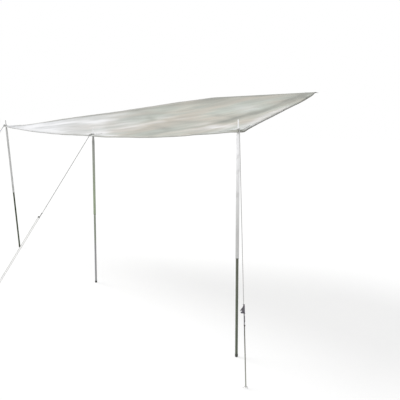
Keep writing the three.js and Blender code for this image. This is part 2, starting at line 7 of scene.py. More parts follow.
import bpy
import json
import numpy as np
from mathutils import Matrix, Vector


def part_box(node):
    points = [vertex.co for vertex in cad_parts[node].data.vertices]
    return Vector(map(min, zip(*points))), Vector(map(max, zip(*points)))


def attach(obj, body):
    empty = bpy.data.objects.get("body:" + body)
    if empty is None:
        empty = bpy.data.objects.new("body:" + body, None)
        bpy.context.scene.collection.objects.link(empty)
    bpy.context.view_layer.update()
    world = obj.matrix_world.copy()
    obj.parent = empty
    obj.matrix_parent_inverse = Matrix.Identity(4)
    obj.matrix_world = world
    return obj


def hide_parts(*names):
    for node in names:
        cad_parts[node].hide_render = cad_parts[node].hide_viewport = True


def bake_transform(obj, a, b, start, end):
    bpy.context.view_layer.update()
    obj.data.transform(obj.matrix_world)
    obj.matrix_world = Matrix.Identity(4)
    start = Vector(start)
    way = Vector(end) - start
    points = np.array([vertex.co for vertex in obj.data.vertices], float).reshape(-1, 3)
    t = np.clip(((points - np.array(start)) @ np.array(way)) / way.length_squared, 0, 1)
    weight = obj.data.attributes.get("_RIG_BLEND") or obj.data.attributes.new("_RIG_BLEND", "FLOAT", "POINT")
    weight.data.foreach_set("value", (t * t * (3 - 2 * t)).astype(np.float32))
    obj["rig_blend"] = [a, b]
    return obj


bl_info = {
    "name": "Trailer Kitchen Awning",
    "version": (1, 0, 0),
    "blender": (4, 5, 0),
    "location": "3D Viewport > Sidebar > Awning",
    "description": "Builds a canvas awning with its poles, guy ropes, zip and stage",
    "category": "Object",
}

import json
import math

import bmesh
import bpy
from mathutils import Matrix, Vector, noise

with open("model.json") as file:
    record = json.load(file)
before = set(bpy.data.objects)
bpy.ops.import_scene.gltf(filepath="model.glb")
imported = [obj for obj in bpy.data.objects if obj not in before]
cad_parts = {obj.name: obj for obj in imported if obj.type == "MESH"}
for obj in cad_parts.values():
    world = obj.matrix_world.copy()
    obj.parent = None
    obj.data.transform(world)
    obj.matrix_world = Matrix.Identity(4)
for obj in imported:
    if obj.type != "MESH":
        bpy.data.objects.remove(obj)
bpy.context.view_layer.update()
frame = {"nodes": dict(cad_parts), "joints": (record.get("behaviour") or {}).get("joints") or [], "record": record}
JOINTS = {joint["name"]: joint for joint in frame["joints"]}

MM = 0.001
UP = Vector((0, 0, 1))
POLES = ("near", "middle", "far")

# The canvas, as in the part's source
SEAM_HEIGHT = 2.400
SEAM_LENGTH = 1.560
PROJECTION = 1.880
NEAR_REACH = 1.043
MIDDLE_REACH = 1.160
FAR_REACH = 3.550
MIDDLE_SET = 0.060
CORNER_Z = -0.400
MIDDLE_Z = -0.488
OVERHANG = 0.032
TIP_OVERHANG = 0.022
HEM_DROP = 0.012
CORNER_SPAN = 0.046
CORNER_CUT = 0.013
FLAT_HALF = 0.018
LIP = OVERHANG - FLAT_HALF
OUTER_WIDTH = NEAR_REACH + OVERHANG + FAR_REACH + TIP_OVERHANG
INNER_DEPTH = 0.034
REST_DEPTH = 0.057
OUTER_DEPTH = PROJECTION + OVERHANG
EYELET_DEPTH = PROJECTION - FLAT_HALF
CANVAS_MID = 2.3 * MM
PATCH_TOP = 3.8 * MM
FLANGE_TOP = 5.6 * MM
FLANGE_LOW = -6.1 * MM
WEBBING_LOW = -4.3 * MM
HEM_LEAD = 0.120

# The flat places round the eyelets, and the holes under them
EYELET_FLAT = 0.022
EYELET_EASE = 0.085
HOLE_RADIUS = 8.4 * MM
HOLE_REACH = 0.05

# Lines of the canvas's grid, and how far its webbing and patches reach
SEAM_STEP = 8 * MM
HEM_STEP = 9 * MM
LIP_STEPS = 5
LIP_ROOM = 0.02
SIDE_BORDER = 0.055
SIDE_STEP = 11 * MM
NEAR_LINES = (SIDE_BORDER, 0.043, 0.031, 0.022)
CANVAS_STEP = 0.022
EDGE_STEP = 0.03
PATCH_STEP = 10 * MM
WEBBING_REACH = 0.05
RIM_REACH = 3.5 * MM
FAR_LAP = 0.09
PATCH_REACH = 0.190
PATCH_SLANT = 0.033
PATCH_ROOM = 0.26
PATCH_THICK = 1.5 * MM
UNDER_THICK = 1.8 * MM
OVER_THICK = 0.8 * MM
OVER_RISES = {"outer": 1.30 * MM, "near": 1.36 * MM, "far": 1.33 * MM}

# Unevenness of the canvas: heights, how far its folds and marks wander, and its hem's ripple
BROAD_SLACK = 6 * MM
SMALL_SLACK = 1.6 * MM
FOLD_WANDER = 0.03
TONE_WANDER = 0.035
RIPPLE_SHARE = 0.16

# The slanted far edge: distance square to it as a share of that along X, and its length
# as a share of its depth
FAR_SQUARE_SHARE = 0.55
FAR_RUN_SHARE = 1.8

# Guy ropes, as in the part's source
ROPE_RADIUS = 3 * MM
STRAND_GAP = 14.6 * MM
HOOK_RISE = 16 * MM
TURN_LIFT = 12 * MM
HEM_CLEAR = 6 * MM
FIT = 0.3 * MM
PEGS = {"near": (1.384, -2.167), "middle": (-1.950, -2.837), "far": (-4.020, -3.242)}
RUNNERS = {"near": 0.602, "middle": 1.106, "far": 1.185}
RUNNER_HEIGHT = 70 * MM
RUNNER_WIDTH = 32 * MM
RUNNER_THICK = 2.5 * MM
KNOT_RADIUS = 6.5 * MM
KNOT_LENGTH = 15 * MM
SPRING_RADIUS = 4 * MM
WIRE_RADIUS = 0.8 * MM
SPRING_CURLS = 14
SPRING_BODY = 42 * MM
SPRING_END = 22 * MM
LUG_RADIUS = 7.5 * MM
LUG_BORE = 4.2 * MM
PEG_RADIUS = 4 * MM
PEG_BACK = 14 * MM
PEG_ARM = 20 * MM
PEG_TIP = 9 * MM
PEG_DEPTH = 0.230

# The spring's wound wire, its narrow ends and its eye in the runner
SPRING_WIRE = WIRE_RADIUS * 1.35
SPRING_NECK = 1.9 * MM
SPRING_EYE = 1.2 * MM

# The rope's loop round the spike: (reach, across) from the eyelet's middle, its round
# stretch in degrees, and where it leaves the flat place
LOOP_START = ((0.031, 0.0066), (0.022, 0.0068), (0.0135, 0.0078))
LOOP_RADIUS = 11.2 * MM
LOOP_TURN = (55, 305)
LOOP_END = ((0.0145, -0.0062), (0.020, -0.0034))
LOOP_LEAD = (5.5 * MM, -0.8 * MM)

# The tie that closes the loop, wound round both strands
TIE_REACH = 18.5 * MM
TIE_PITCH = 3.6 * MM
TIE_ASIDE = 1.8 * MM
TIE_WIDTH = 9.2 * MM
TIE_HEIGHT = 4.8 * MM
TIE_LIFT = 1.5 * MM
TIE_RADIUS = 2.1 * MM
TIE_TURNS = 4

# Steps along a rope: their length in its bends and round the peg, their number on a straight
# strand and tail, and the number at a tail's end that stretch as its runner slides
BEND_STEP = 4 * MM
HOOK_STEP = 3 * MM
STRAND_STEPS = 60
TAIL_STEPS = 40
STRETCH_STEPS = 34

# The runner's outline, as shares of its width and half its height
RUNNER_SHARES = (
    (-0.24, 1), (0.02, 1), (0.30, 0.46), (0.66, 0.06), (0.92, -0.26), (1, -0.54), (0.78, -0.40),
    (0.52, -0.34), (0.46, -0.48), (0.78, -0.64), (0.86, -0.86), (0.66, -0.98), (0.30, -1),
    (-0.24, -1))

# Poles, as in the part's source
TUBE_RADIUS = 15 * MM
TUBE_BORE = 13.8 * MM
LEG_RADIUS = 12 * MM
LEG_BORE = 10.8 * MM
LEG_TOP = 1.180
JOINT_HEIGHT = 0.930
SPIKE_RADIUS = 5 * MM
SPIKE_HEIGHT = 86 * MM
SPIKE_ROOT = 60 * MM
TAPER_LENGTH = 88 * MM
PLUG_DEPTH = 40 * MM
SHOULDER_RADIUS = 9 * MM
SHOULDER_FALL = 2.8 * MM
FOOT_RADIUS = 13.4 * MM
FOOT_HEIGHT = 26 * MM
FOOT_SOLE = 7 * MM
BUSH_LENGTH = 40 * MM
BUSH_FLANGE = 3 * MM

# The straight rim under the plug's taper, and the ribs of the foot cap
PLUG_LAND = 6 * MM
RIB_START = 3 * MM
RIB_PITCH = 5 * MM
RIB_WIDTH = 3 * MM
RIB_EASE = 0.6 * MM
RIB_DEPTH = 0.5 * MM

# Eyelets and the zip's teeth
EYELET_BORE = 6.5 * MM
EYELET_BARREL = 8 * MM
EYELET_FLANGE = 13 * MM
EYELET_THICK = 1.5 * MM
TOOTH_PITCH = 5.2 * MM
TOOTH_SHARE = 0.56
FIRST_TOOTH_SHARES = {"mounting": 0.3, "canopy": 0.7}

# Rounding of small edges, and the angles in degrees over which ropes and cloth show an edge
SLIGHT_ROUND = 0.3 * MM
ROUND = 0.4 * MM
FULL_ROUND = 0.5 * MM
ROPE_CREASE = 60
CLOTH_CREASE = 80

# The camera stands where the photograph was taken from
CAMERA_PLACE = (2.952, -4.408, -0.324)
CAMERA_HEADING = math.radians(-42.6)
CAMERA_TILT = math.radians(-11.55)
CAMERA_LENS = 34.9
CAMERA_SENSOR = 36.0

# The floor lies just under the feet, and the sun is a broad soft one
FLOOR_SIZE = 40
FLOOR_GAP = 1.2 * MM
FLOOR_GLOW = 1.03
GLOW_SHARE = 0.7
SUN_WAY = (0.80, 0.25, -1.0)
SUN_SPREAD = math.radians(25)


# Settings

def length_setting(name, description, default, most, least=0.0):
    """A length in metres for the sidebar."""
    return bpy.props.FloatProperty(
        name=name, description=description, default=default, min=least, max=most,
        unit="LENGTH", subtype="DISTANCE")


def colour_setting(name, description, default):
    """A colour for the sidebar."""
    return bpy.props.FloatVectorProperty(
        name=name, description=description, default=default, subtype="COLOR", size=3,
        min=0.0, max=1.0)


class CanopySettings(bpy.types.PropertyGroup):
    """The canvas: how it hangs, and its colours"""

    hem_drop: length_setting("Hem drop", "How far the hem hangs at the edges", HEM_DROP, 0.04)
    outer_sag: length_setting("Edge sag", "How far the outer edge sags between poles", 0.028, 0.08)
    far_sag: length_setting("Far edge sag", "How far the far edge sags", 0.014, 0.04)
    tip_sag: length_setting("Far tip sag", "How far the far edge dips by its corner", 0.022, 0.04)
    belly: length_setting(
        "Belly", "How far the middle of the canvas hangs under straight lines", 0.026, 0.05)
    fold_depth: length_setting("Fold depth", "Depth of the main folds", 0.026, 0.05)
    fold_width: length_setting("Fold width", "Half width of the main folds", 0.170, 0.4, 0.05)
    thickness: length_setting("Canvas thickness", "Thickness of the canvas", 0.0016, 0.004, 0.0005)
    colour: colour_setting("Canvas colour", "Sun-bleached canvas", (0.565, 0.556, 0.520))
    # The canvas turns towards this colour near the far corner
    pale: colour_setting(
        "Far corner colour", "Canvas at the far corner, bleached most", (0.835, 0.845, 0.880))
    # Painted highlight: the light marks mix towards this on the ridges and along the near and outer edges, and in
    # paler patches
    bright: colour_setting(
        "Highlight colour", "Canvas rubbed pale along its ridges", (0.88, 0.88, 0.895))
    # Stains mix towards this, and so does the painted shade in the furrows and along the zip
    shade: colour_setting(
        "Stain and shade colour", "Canvas where dust and rain have settled", (0.30, 0.305, 0.275))
    # Painted shade: the near edge's olive webbing is painted near black for the shade it hangs in
    shaded_hem_colour: colour_setting(
        "Shaded hem colour", "Webbing bound round the near edge", (0.070, 0.069, 0.050))
    outer_hem: colour_setting(
        "Outer hem colour", "Bleached webbing on the outer and far edges", (0.50, 0.50, 0.475))
    thread_colour: colour_setting("Thread colour", "Stitching", (0.36, 0.35, 0.31))


class RopeSettings(bpy.types.PropertyGroup):
    """The guy ropes' colours"""

    colour: colour_setting("Rope colour", "Braided rope above the near runner", (0.66, 0.66, 0.65))
    # Partly painted shade: the near tail by its peg is soiled, and painted darker for the shade it hangs in
    worn: colour_setting(
        "Soiled and shaded rope colour", "Braided rope of the near tail, by its peg", (0.29, 0.29, 0.24))
    dusty: colour_setting("Dusty rope colour", "Braided rope of the middle pole", (0.22, 0.22, 0.21))
    fresh: colour_setting(
        "Pale rope colour", "Return strand of the middle pole, hardly used", (0.74, 0.74, 0.70))
    # Painted shade: the near tail's upper end and the far rope are painted near black for the shade they hang in
    shaded_rope: colour_setting(
        "Shaded rope colour", "The near tail's upper end and the far rope, dark with use",
        (0.070, 0.070, 0.064))
    soiled: colour_setting(
        "Soiled rope colour", "Stopper knots, dark with handling", (0.060, 0.060, 0.056))
    runner: colour_setting("Runner colour", "Dull plated steel", (0.175, 0.165, 0.190))


class PoleSettings(bpy.types.PropertyGroup):
    """The poles' colours"""

    steel: colour_setting("Steel colour", "Bright upper tube of the near pole", (0.90, 0.90, 0.91))
    dull: colour_setting(
        "Dull steel colour", "Weathered upper tube of the middle pole", (0.375, 0.375, 0.365))
    grey: colour_setting(
        "Grey steel colour", "Weathered upper tube of the far pole", (0.610, 0.610, 0.605))
    leg: colour_setting("Leg colour", "Dull paint on the near pole's leg", (0.110, 0.122, 0.088))
    pale_leg: colour_setting(
        "Pale leg colour", "Bleached paint on the middle pole's leg", (0.255, 0.290, 0.230))
    dark_leg: colour_setting(
        "Dark leg colour", "Fresh olive paint on the far pole's leg", (0.034, 0.052, 0.016))
    rubber: colour_setting("Rubber colour", "Foot caps", (0.045, 0.046, 0.040))


class StageSettings(bpy.types.PropertyGroup):
    """Floor, light and backdrop"""

    floor: colour_setting("Floor colour", "Pale floor", (0.94, 0.94, 0.94))
    sky: bpy.props.FloatProperty(
        name="Ambient light", description="Strength of the even light from all round",
        default=0.56, min=0.0, max=2.0)
    key: bpy.props.FloatProperty(
        name="Key light", description="Strength of the soft lamp overhead",
        default=2.2, min=0.0, max=10.0)


# Making meshes

def as_mesh(shape, name):
    """A mesh from a bmesh, which is used up."""
    mesh = bpy.data.meshes.new(name)
    shape.to_mesh(mesh)
    shape.free()
    return mesh


def linked(name, data):
    """A new object in the scene."""
    thing = bpy.data.objects.new(name, data)
    bpy.context.scene.collection.objects.link(thing)
    return thing


def finish_mesh(name, shape, look, body, replaces=(), angle=35):
    """Turns a bmesh into a named piece that rides on a body."""
    mesh = as_mesh(shape, name)
    mesh.materials.append(finish(look))
    mesh.shade_smooth()
    mesh.set_sharp_from_angle(angle=math.radians(angle))
    piece = linked(name, mesh)
    if body:
        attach(piece, body)
    if replaces:
        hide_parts(*replaces)
    return piece


def soften(shape, width, segments=2, angle=30):
    """Rounds the edges where two faces meet at more than that angle, in degrees."""
    sharp = [edge for edge in shape.edges if edge.is_manifold
             and edge.calc_face_angle() > math.radians(angle)]
    bmesh.ops.bevel(
        shape, geom=sharp, offset=width, segments=segments, affect="EDGES", profile=0.5,
        material=-1, clamp_overlap=True)


def turned(profile, steps=48, rounding=0.0):
    """A closed turned shape about Z, from (radius, height) points."""
    shape = bmesh.new()
    points = [shape.verts.new((radius, 0, height)) for radius, height in profile]
    closes = profile[0][0] > 0 or profile[-1][0] > 0
    ends = zip(points, points[1:] + points[:1]) if closes else zip(points, points[1:])
    edges = [shape.edges.new(pair) for pair in ends]
    bmesh.ops.spin(
        shape, geom=points + edges, cent=(0, 0, 0), axis=UP, dvec=(0, 0, 0),
        angle=2 * math.pi, steps=steps, use_merge=True, use_duplicate=False)
    bmesh.ops.remove_doubles(shape, verts=shape.verts, dist=1e-6)
    bmesh.ops.recalc_face_normals(shape, faces=shape.faces)
    if rounding:
        soften(shape, rounding, angle=25)
    return shape


def of_kind(parts, kind):
    return [part for part in parts if isinstance(part, kind)]


def plate(outline, thickness, rounding=0.0):
    """A flat plate from (x, z) points, with its front on y = 0 and its back at thickness."""
    shape = bmesh.new()
    face = shape.faces.new([shape.verts.new((x, 0, z)) for x, z in outline])
    grown = bmesh.ops.extrude_face_region(shape, geom=[face])["geom"]
    bmesh.ops.translate(shape, vec=(0, thickness, 0), verts=of_kind(grown, bmesh.types.BMVert))
    bmesh.ops.recalc_face_normals(shape, faces=shape.faces)
    if rounding:
        soften(shape, rounding, angle=25)
    return shape


def placed(shape, matrix):
    bmesh.ops.transform(shape, matrix=matrix, verts=shape.verts)
    return shape


def moved(shape, x, y, z):
    return placed(shape, Matrix.Translation((x, y, z)))


def merged(*shapes):
    """Several bmeshes as one."""
    whole = bmesh.new()
    for shape in shapes:
        mesh = as_mesh(shape, "part")
        whole.from_mesh(mesh)
        bpy.data.meshes.remove(mesh)
    return whole


def basis(origin, x, y, z):
    """The matrix that puts a shape's axes along x, y and z at origin."""
    return Matrix((
        (x[0], y[0], z[0], origin[0]), (x[1], y[1], z[1], origin[1]),
        (x[2], y[2], z[2], origin[2]), (0, 0, 0, 1)))


def path_frames(path):
    """One turn-free frame per point of a path: (origin, across, over, along)."""
    frames = []
    across = None
    for i, point in enumerate(path):
        along = (path[min(i + 1, len(path) - 1)] - path[max(i - 1, 0)]).normalized()
        if across is None:
            side = UP if abs(along.z) < 0.9 else Vector((1, 0, 0))
            across = along.cross(side).normalized()
        across = (across - along * across.dot(along)).normalized()
        frames.append((point, across, along.cross(across), along))
    return frames


def swept(path, radius, sides=12):
    """A round tube along a path, with u round it and v along it in metres."""
    shape = bmesh.new()
    lengths = shape.verts.layers.float.new("length")
    frames = path_frames(path)
    matrices = [basis(*each) for each in frames]
    ring = bmesh.ops.create_circle(shape, segments=sides, radius=radius, cap_ends=True)["verts"]
    bmesh.ops.transform(shape, matrix=matrices[0], verts=ring)
    edges = shape.edges[:]
    run = 0.0
    for i in range(1, len(path)):
        grown = bmesh.ops.extrude_edge_only(shape, edges=edges)["geom"]
        verts, edges = of_kind(grown, bmesh.types.BMVert), of_kind(grown, bmesh.types.BMEdge)
        bmesh.ops.transform(
            shape, matrix=matrices[i] @ matrices[i - 1].inverted(), verts=verts)
        run += (path[i] - path[i - 1]).length
        for vert in verts:
            vert[lengths] = run
    bmesh.ops.contextual_create(shape, geom=edges)
    bmesh.ops.recalc_face_normals(shape, faces=shape.faces)
    add_tube_uv(shape, lengths, frames)
    return shape


def add_tube_uv(shape, lengths, frames):
    """u goes once round the tube, and v is the length along it."""
    uv = shape.loops.layers.uv.new("Along")
    runs = [0.0]
    for before, after in zip(frames, frames[1:]):
        runs.append(runs[-1] + (after[0] - before[0]).length)
    nearest = {round(run, 5): each for run, each in zip(runs, frames)}
    for face in shape.faces:
        turns = []
        for loop in face.loops:
            run = loop.vert[lengths]
            origin, across, over, _ = nearest.get(round(run, 5), frames[0])
            away = loop.vert.co - origin
            turns.append(math.atan2(away.dot(over), away.dot(across)) / (2 * math.pi))
        wraps = max(turns) - min(turns) > 0.5
        for loop, turn in zip(face.loops, turns):
            loop[uv].uv = (turn + (1 if wraps and turn < 0 else 0), loop.vert[lengths])


def smooth_path(points, step):
    """A smooth curve through points, with a point every step or so."""
    path = [points[0]]
    last = len(points) - 1
    for i in range(last):
        corners = [points[min(max(k, 0), last)] for k in range(i - 1, i + 3)]
        count = max(1, round((corners[2] - corners[1]).length / step))
        path += [spline_point(*corners, k / count) for k in range(1, count + 1)]
    return path


def spline_point(before, start, end, after, share):
    """A point of the curve between start and end, that share of the way along it."""
    reach = (end - start).length
    leaving = (end - before).normalized() * reach
    arriving = (after - start).normalized() * reach
    square, cube = share ** 2, share ** 3
    return (start * (2 * cube - 3 * square + 1) + leaving * (cube - 2 * square + share)
            + end * (3 * square - 2 * cube) + arriving * (cube - square))


# Shared effects, as node groups

def new_group(name, numbers=None, vector=True):
    """An empty node group with a vector input and number inputs, and its input node's outputs."""
    group = bpy.data.node_groups.new(name, "ShaderNodeTree")
    if vector:
        group.interface.new_socket(name="Vector", in_out="INPUT", socket_type="NodeSocketVector")
    for socket, value in (numbers or {}).items():
        made = group.interface.new_socket(
            name=socket, in_out="INPUT", socket_type="NodeSocketFloat")
        made.default_value = value
    return group, group.nodes.new("NodeGroupInput").outputs


def with_outputs(group, **values):
    """Gives a group a number output for each named value, and hands the group back."""
    for socket in values:
        group.interface.new_socket(name=socket, in_out="OUTPUT", socket_type="NodeSocketFloat")
    result = group.nodes.new("NodeGroupOutput")
    for socket, value in values.items():
        group.links.new(value, result.inputs[socket])
    return group


def parts_of(tree, vector):
    """The three numbers of a vector."""
    node = tree.nodes.new("ShaderNodeSeparateXYZ")
    tree.links.new(vector, node.inputs[0])
    return node.outputs


def math_node(tree, operation, a, b=None, c=None):
    """A Math node whose inputs are sockets or numbers; gives its output."""
    node = tree.nodes.new("ShaderNodeMath")
    node.operation = operation
    for place, value in enumerate((a, b, c)):
        if value is None:
            continue
        if isinstance(value, (int, float)):
            node.inputs[place].default_value = value
        else:
            tree.links.new(value, node.inputs[place])
    return node.outputs[0]


def mix_colour(tree, share, a, b, blend="MIX"):
    node = tree.nodes.new("ShaderNodeMix")
    node.data_type = "RGBA"
    node.blend_type = blend
    for socket, value in ((node.inputs[0], share), (node.inputs[6], a), (node.inputs[7], b)):
        if isinstance(value, bpy.types.NodeSocket):
            tree.links.new(value, socket)
        elif isinstance(value, (int, float)):
            socket.default_value = value
        else:
            socket.default_value = (*value, 1)
    return node.outputs[2]


def scaled_range(tree, value, low, high, to_low=0.0, to_high=1.0):
    node = tree.nodes.new("ShaderNodeMapRange")
    tree.links.new(value, node.inputs["Value"])
    node.inputs["From Min"].default_value = low
    node.inputs["From Max"].default_value = high
    node.inputs["To Min"].default_value = to_low
    node.inputs["To Max"].default_value = to_high
    return node.outputs["Result"]


def noise_node(tree, vector, scale, detail=3.0, stretch=None, turn=0.0):
    if stretch:
        mapping = tree.nodes.new("ShaderNodeMapping")
        mapping.vector_type = "TEXTURE"
        mapping.inputs["Scale"].default_value = [1 / each for each in stretch]
        mapping.inputs["Rotation"].default_value = (0, 0, math.radians(turn))
        tree.links.new(vector, mapping.inputs["Vector"])
        vector = mapping.outputs["Vector"]
    node = tree.nodes.new("ShaderNodeTexNoise")
    tree.links.new(vector, node.inputs["Vector"])
    node.inputs["Scale"].default_value = scale
    node.inputs["Detail"].default_value = detail
    return node.outputs["Fac"]


def weave_group():
    """Plain weave: threads over and under each other."""
    group, given = new_group("Plain weave", {"Threads per metre": 900.0})
    across, along, _ = parts_of(group, given["Vector"])
    turns = math_node(group, "MULTIPLY", given["Threads per metre"], math.pi)
    warp = math_node(group, "SINE", math_node(group, "MULTIPLY", across, turns))
    weft = math_node(group, "SINE", math_node(group, "MULTIPLY", along, turns))
    height = math_node(group, "ABSOLUTE", math_node(group, "MULTIPLY", warp, weft))
    return with_outputs(group, Height=height)


def braid_group():
    """A round braid: two sets of strands that cross as they wind round the rope."""
    group, given = new_group("Round braid", {"Strands": 4.0, "Pitch": 0.016})
    around, along, _ = parts_of(group, given["Vector"])
    around = math_node(group, "MULTIPLY", around, given["Strands"])
    along = math_node(group, "DIVIDE", along, given["Pitch"])
    along = math_node(group, "MULTIPLY", along, given["Strands"])
    left = math_node(group, "ADD", around, along)
    right = math_node(group, "SUBTRACT", around, along)
    ribs = [math_node(group, "ABSOLUTE", math_node(
        group, "SINE", math_node(group, "MULTIPLY", each, math.pi))) for each in (left, right)]
    place = math_node(group, "MODULO", math_node(group, "FLOOR", left), 4.0)
    return with_outputs(
        group, Height=math_node(group, "MULTIPLY", *ribs),
        Fleck=math_node(group, "COMPARE", place, 0.0, 0.5))


def weather_group():
    """Stains and dust: broad blotches, and finer marks drawn out one way."""
    group, given = new_group("Weathering")
    vector = given["Vector"]
    blotch = noise_node(group, vector, 2.1, 5)
    streak = noise_node(group, vector, 3.4, 5, (0.55, 3.4, 1), 24)
    fine = noise_node(group, vector, 6.5, 6, (0.32, 1.9, 1), 21)
    tint = noise_node(group, vector, 1.9, 2, (0.6, 1.6, 1), 24)
    return with_outputs(
        group, Blotch=scaled_range(group, blotch, 0.36, 0.66),
        Streak=scaled_range(group, streak, 0.36, 0.66), Fine=scaled_range(group, fine, 0.40, 0.62),
        Tint=scaled_range(group, tint, 0.38, 0.62), Grain=noise_node(group, vector, 70, 3))


def stitch_group():
    """Rows of stitches at set distances from an edge, dashed along it."""
    group, given = new_group("Stitch rows", {
        "Along": 0.0, "From edge": 0.0, "First row": 0.004, "Second row": 0.019,
        "Stitch": 0.005, "Half width": 0.0009, "Thread share": 0.68}, vector=False)
    rows = [math_node(group, "COMPARE", given["From edge"], given[row], given["Half width"])
            for row in ("First row", "Second row")]
    step = math_node(group, "FRACT", math_node(group, "DIVIDE", given["Along"], given["Stitch"]))
    dash = math_node(group, "LESS_THAN", step, given["Thread share"])
    either = math_node(group, "MAXIMUM", *rows)
    return with_outputs(group, Mask=math_node(group, "MULTIPLY", either, dash))


def drawn_group():
    """Drawn or brushed metal: fine scratches along Z, with dull spots."""
    group, given = new_group("Drawn metal")
    vector = given["Vector"]
    return with_outputs(
        group, Scratch=noise_node(group, vector, 90, 3, (8, 8, 0.25)),
        Spot=scaled_range(group, noise_node(group, vector, 14, 5), 0.5, 0.72))


GROUPS = {}


def group_node(tree, name, vector=None, **values):
    """Places a shared group in a material, making it the first time."""
    if name not in GROUPS:
        GROUPS[name] = {
            "weave": weave_group, "braid": braid_group, "weather": weather_group,
            "stitch": stitch_group, "drawn": drawn_group}[name]()
    node = tree.nodes.new("ShaderNodeGroup")
    node.node_tree = GROUPS[name]
    if vector is not None:
        tree.links.new(vector, node.inputs["Vector"])
    for socket, value in values.items():
        node.inputs[socket.replace("_", " ")].default_value = value
    return node


# Materials

def new_material(name, colour, roughness, metallic=0.0):
    """A material with its own Principled shader; gives the material, its tree and the shader."""
    material = bpy.data.materials.new(name)
    material.use_nodes = True
    tree = material.node_tree
    shader = next(node for node in tree.nodes if node.type == "BSDF_PRINCIPLED")
    shader.inputs["Base Color"].default_value = (*colour, 1)
    shader.inputs["Roughness"].default_value = roughness
    shader.inputs["Metallic"].default_value = metallic
    return material, tree, shader


def place_of(tree, socket="Object"):
    return tree.nodes.new("ShaderNodeTexCoord").outputs[socket]


def own_uv(tree, name):
    node = tree.nodes.new("ShaderNodeUVMap")
    node.uv_map = name
    return node.outputs["UV"]


def own_value(tree, name):
    node = tree.nodes.new("ShaderNodeAttribute")
    node.attribute_name = name
    return node.outputs["Fac"]


def add_bump(tree, shader, height, distance, strength=1.0):
    bump = tree.nodes.new("ShaderNodeBump")
    bump.inputs["Distance"].default_value = distance
    bump.inputs["Strength"].default_value = strength
    tree.links.new(height, bump.inputs["Height"])
    before = shader.inputs["Normal"].links
    if before:
        tree.links.new(before[0].from_socket, bump.inputs["Normal"])
    tree.links.new(bump.outputs["Normal"], shader.inputs["Normal"])


# The canvas turns paler along this way in plan, from the first distance to the second
PALE_WAY = (-0.8, -0.6)
PALE_REACH = (1.45, 3.1)

# The canvas's colour in its cool and in its warm places, channel by channel
COOL_SHARES = (0.94, 1.02, 0.985)
WARM_SHARES = (1.10, 1.02, 0.94)

# Heights between which a finish changes to its lower one
# On the upper tubes the change is a painted reflection: paler above, where they mirror the sky, darker and greener
# below, where they mirror the ground
TUBE_REFLECTION_FADE = (-0.55, -1.25)
PAINT_FADE = (-1.78, -1.90)
NEAR_ROPE_FADE = (-1.88, -1.96)
NEAR_TAIL_FADE = (-1.98, -2.28)
MIDDLE_ROPE_FADE = (-1.36, -1.46)


def canvas_material(settings):
    """Heavy canvas, paler towards the far corner, with stains, stitching, painted highlights on its ridges and
    edges and painted shade in its furrows.
    """
    material, tree, shader = new_material("Awning canvas", settings.colour, 0.85)
    shader.inputs["Sheen Weight"].default_value = 0.15
    shader.inputs["Sheen Roughness"].default_value = 0.5
    shader.inputs["Specular IOR Level"].default_value = 0.25
    place = place_of(tree)
    weather = group_node(tree, "weather", place)
    x, y, _ = parts_of(tree, place)
    drift = math_node(tree, "ADD", math_node(tree, "MULTIPLY", x, PALE_WAY[0]),
                      math_node(tree, "MULTIPLY", y, PALE_WAY[1]))
    # Paler towards the far corner
    bleached = scaled_range(tree, drift, *PALE_REACH)
    cool, warm = ([channel * share for channel, share in zip(settings.colour, shares)]
                  for shares in (COOL_SHARES, WARM_SHARES))
    colour = mix_colour(tree, weather.outputs["Tint"], cool, warm)
    colour = mix_colour(tree, bleached, colour, settings.pale)
    for mark, share in (("Blotch", 0.26), ("Streak", 0.28), ("Fine", 0.30)):
        stained = math_node(tree, "MULTIPLY", weather.outputs[mark], share)
        colour = mix_colour(tree, stained, colour, settings.shade)
    # The marks' tone: painted shade and darker patches below 0, painted highlights and paler patches over 0
    tone = own_value(tree, "tone")
    broken = scaled_range(tree, weather.outputs["Streak"], 0.0, 1.0, 1.15, 0.7)
    dark = math_node(tree, "MAXIMUM", math_node(tree, "MULTIPLY", tone, -1.0), 0.0)
    colour = mix_colour(tree, math_node(tree, "MULTIPLY", dark, broken), colour, settings.shade)
    light = math_node(tree, "MAXIMUM", tone, 0.0)
    colour = mix_colour(tree, math_node(tree, "MULTIPLY", light, broken), colour, settings.bright)
    stitch = group_node(tree, "stitch")
    tree.links.new(own_value(tree, "edge_run"), stitch.inputs["Along"])
    tree.links.new(own_value(tree, "edge_away"), stitch.inputs["From edge"])
    colour = mix_colour(tree, stitch.outputs["Mask"], colour, settings.thread_colour)
    tree.links.new(colour, shader.inputs["Base Color"])
    weave = group_node(tree, "weave", place)
    add_bump(tree, shader, weave.outputs["Height"], 0.4 * MM, 0.6)
    add_bump(tree, shader, weather.outputs["Grain"], 1.5 * MM, 0.35)
    add_bump(tree, shader, stitch.outputs["Mask"], 1.0 * MM, 0.8)
    return material


def webbing_material(name, colour, thread):
    """Ribbed webbing that binds the edges."""
    material, tree, shader = new_material(name, colour, 0.9)
    shader.inputs["Sheen Weight"].default_value = 0.08
    place = place_of(tree)
    weather = group_node(tree, "weather", place)
    worn = math_node(tree, "MULTIPLY", weather.outputs["Streak"], 0.18)
    tree.links.new(mix_colour(tree, worn, colour, thread), shader.inputs["Base Color"])
    weave = group_node(tree, "weave", place, Threads_per_metre=500.0)
    add_bump(tree, shader, weave.outputs["Height"], 0.6 * MM, 0.9)
    return material


def tape_material():
    """Black woven zip tape."""
    colour = (0.016, 0.016, 0.015)
    material, tree, shader = new_material("Zip tape", colour, 0.85)
    place = place_of(tree)
    weave = group_node(tree, "weave", place, Threads_per_metre=1400.0)
    dust = group_node(tree, "weather", place)
    dusted = math_node(tree, "MULTIPLY", dust.outputs["Grain"], 0.25)
    tree.links.new(
        mix_colour(tree, dusted, colour, (0.11, 0.10, 0.085)), shader.inputs["Base Color"])
    add_bump(tree, shader, weave.outputs["Height"], 0.3 * MM, 0.8)
    return material


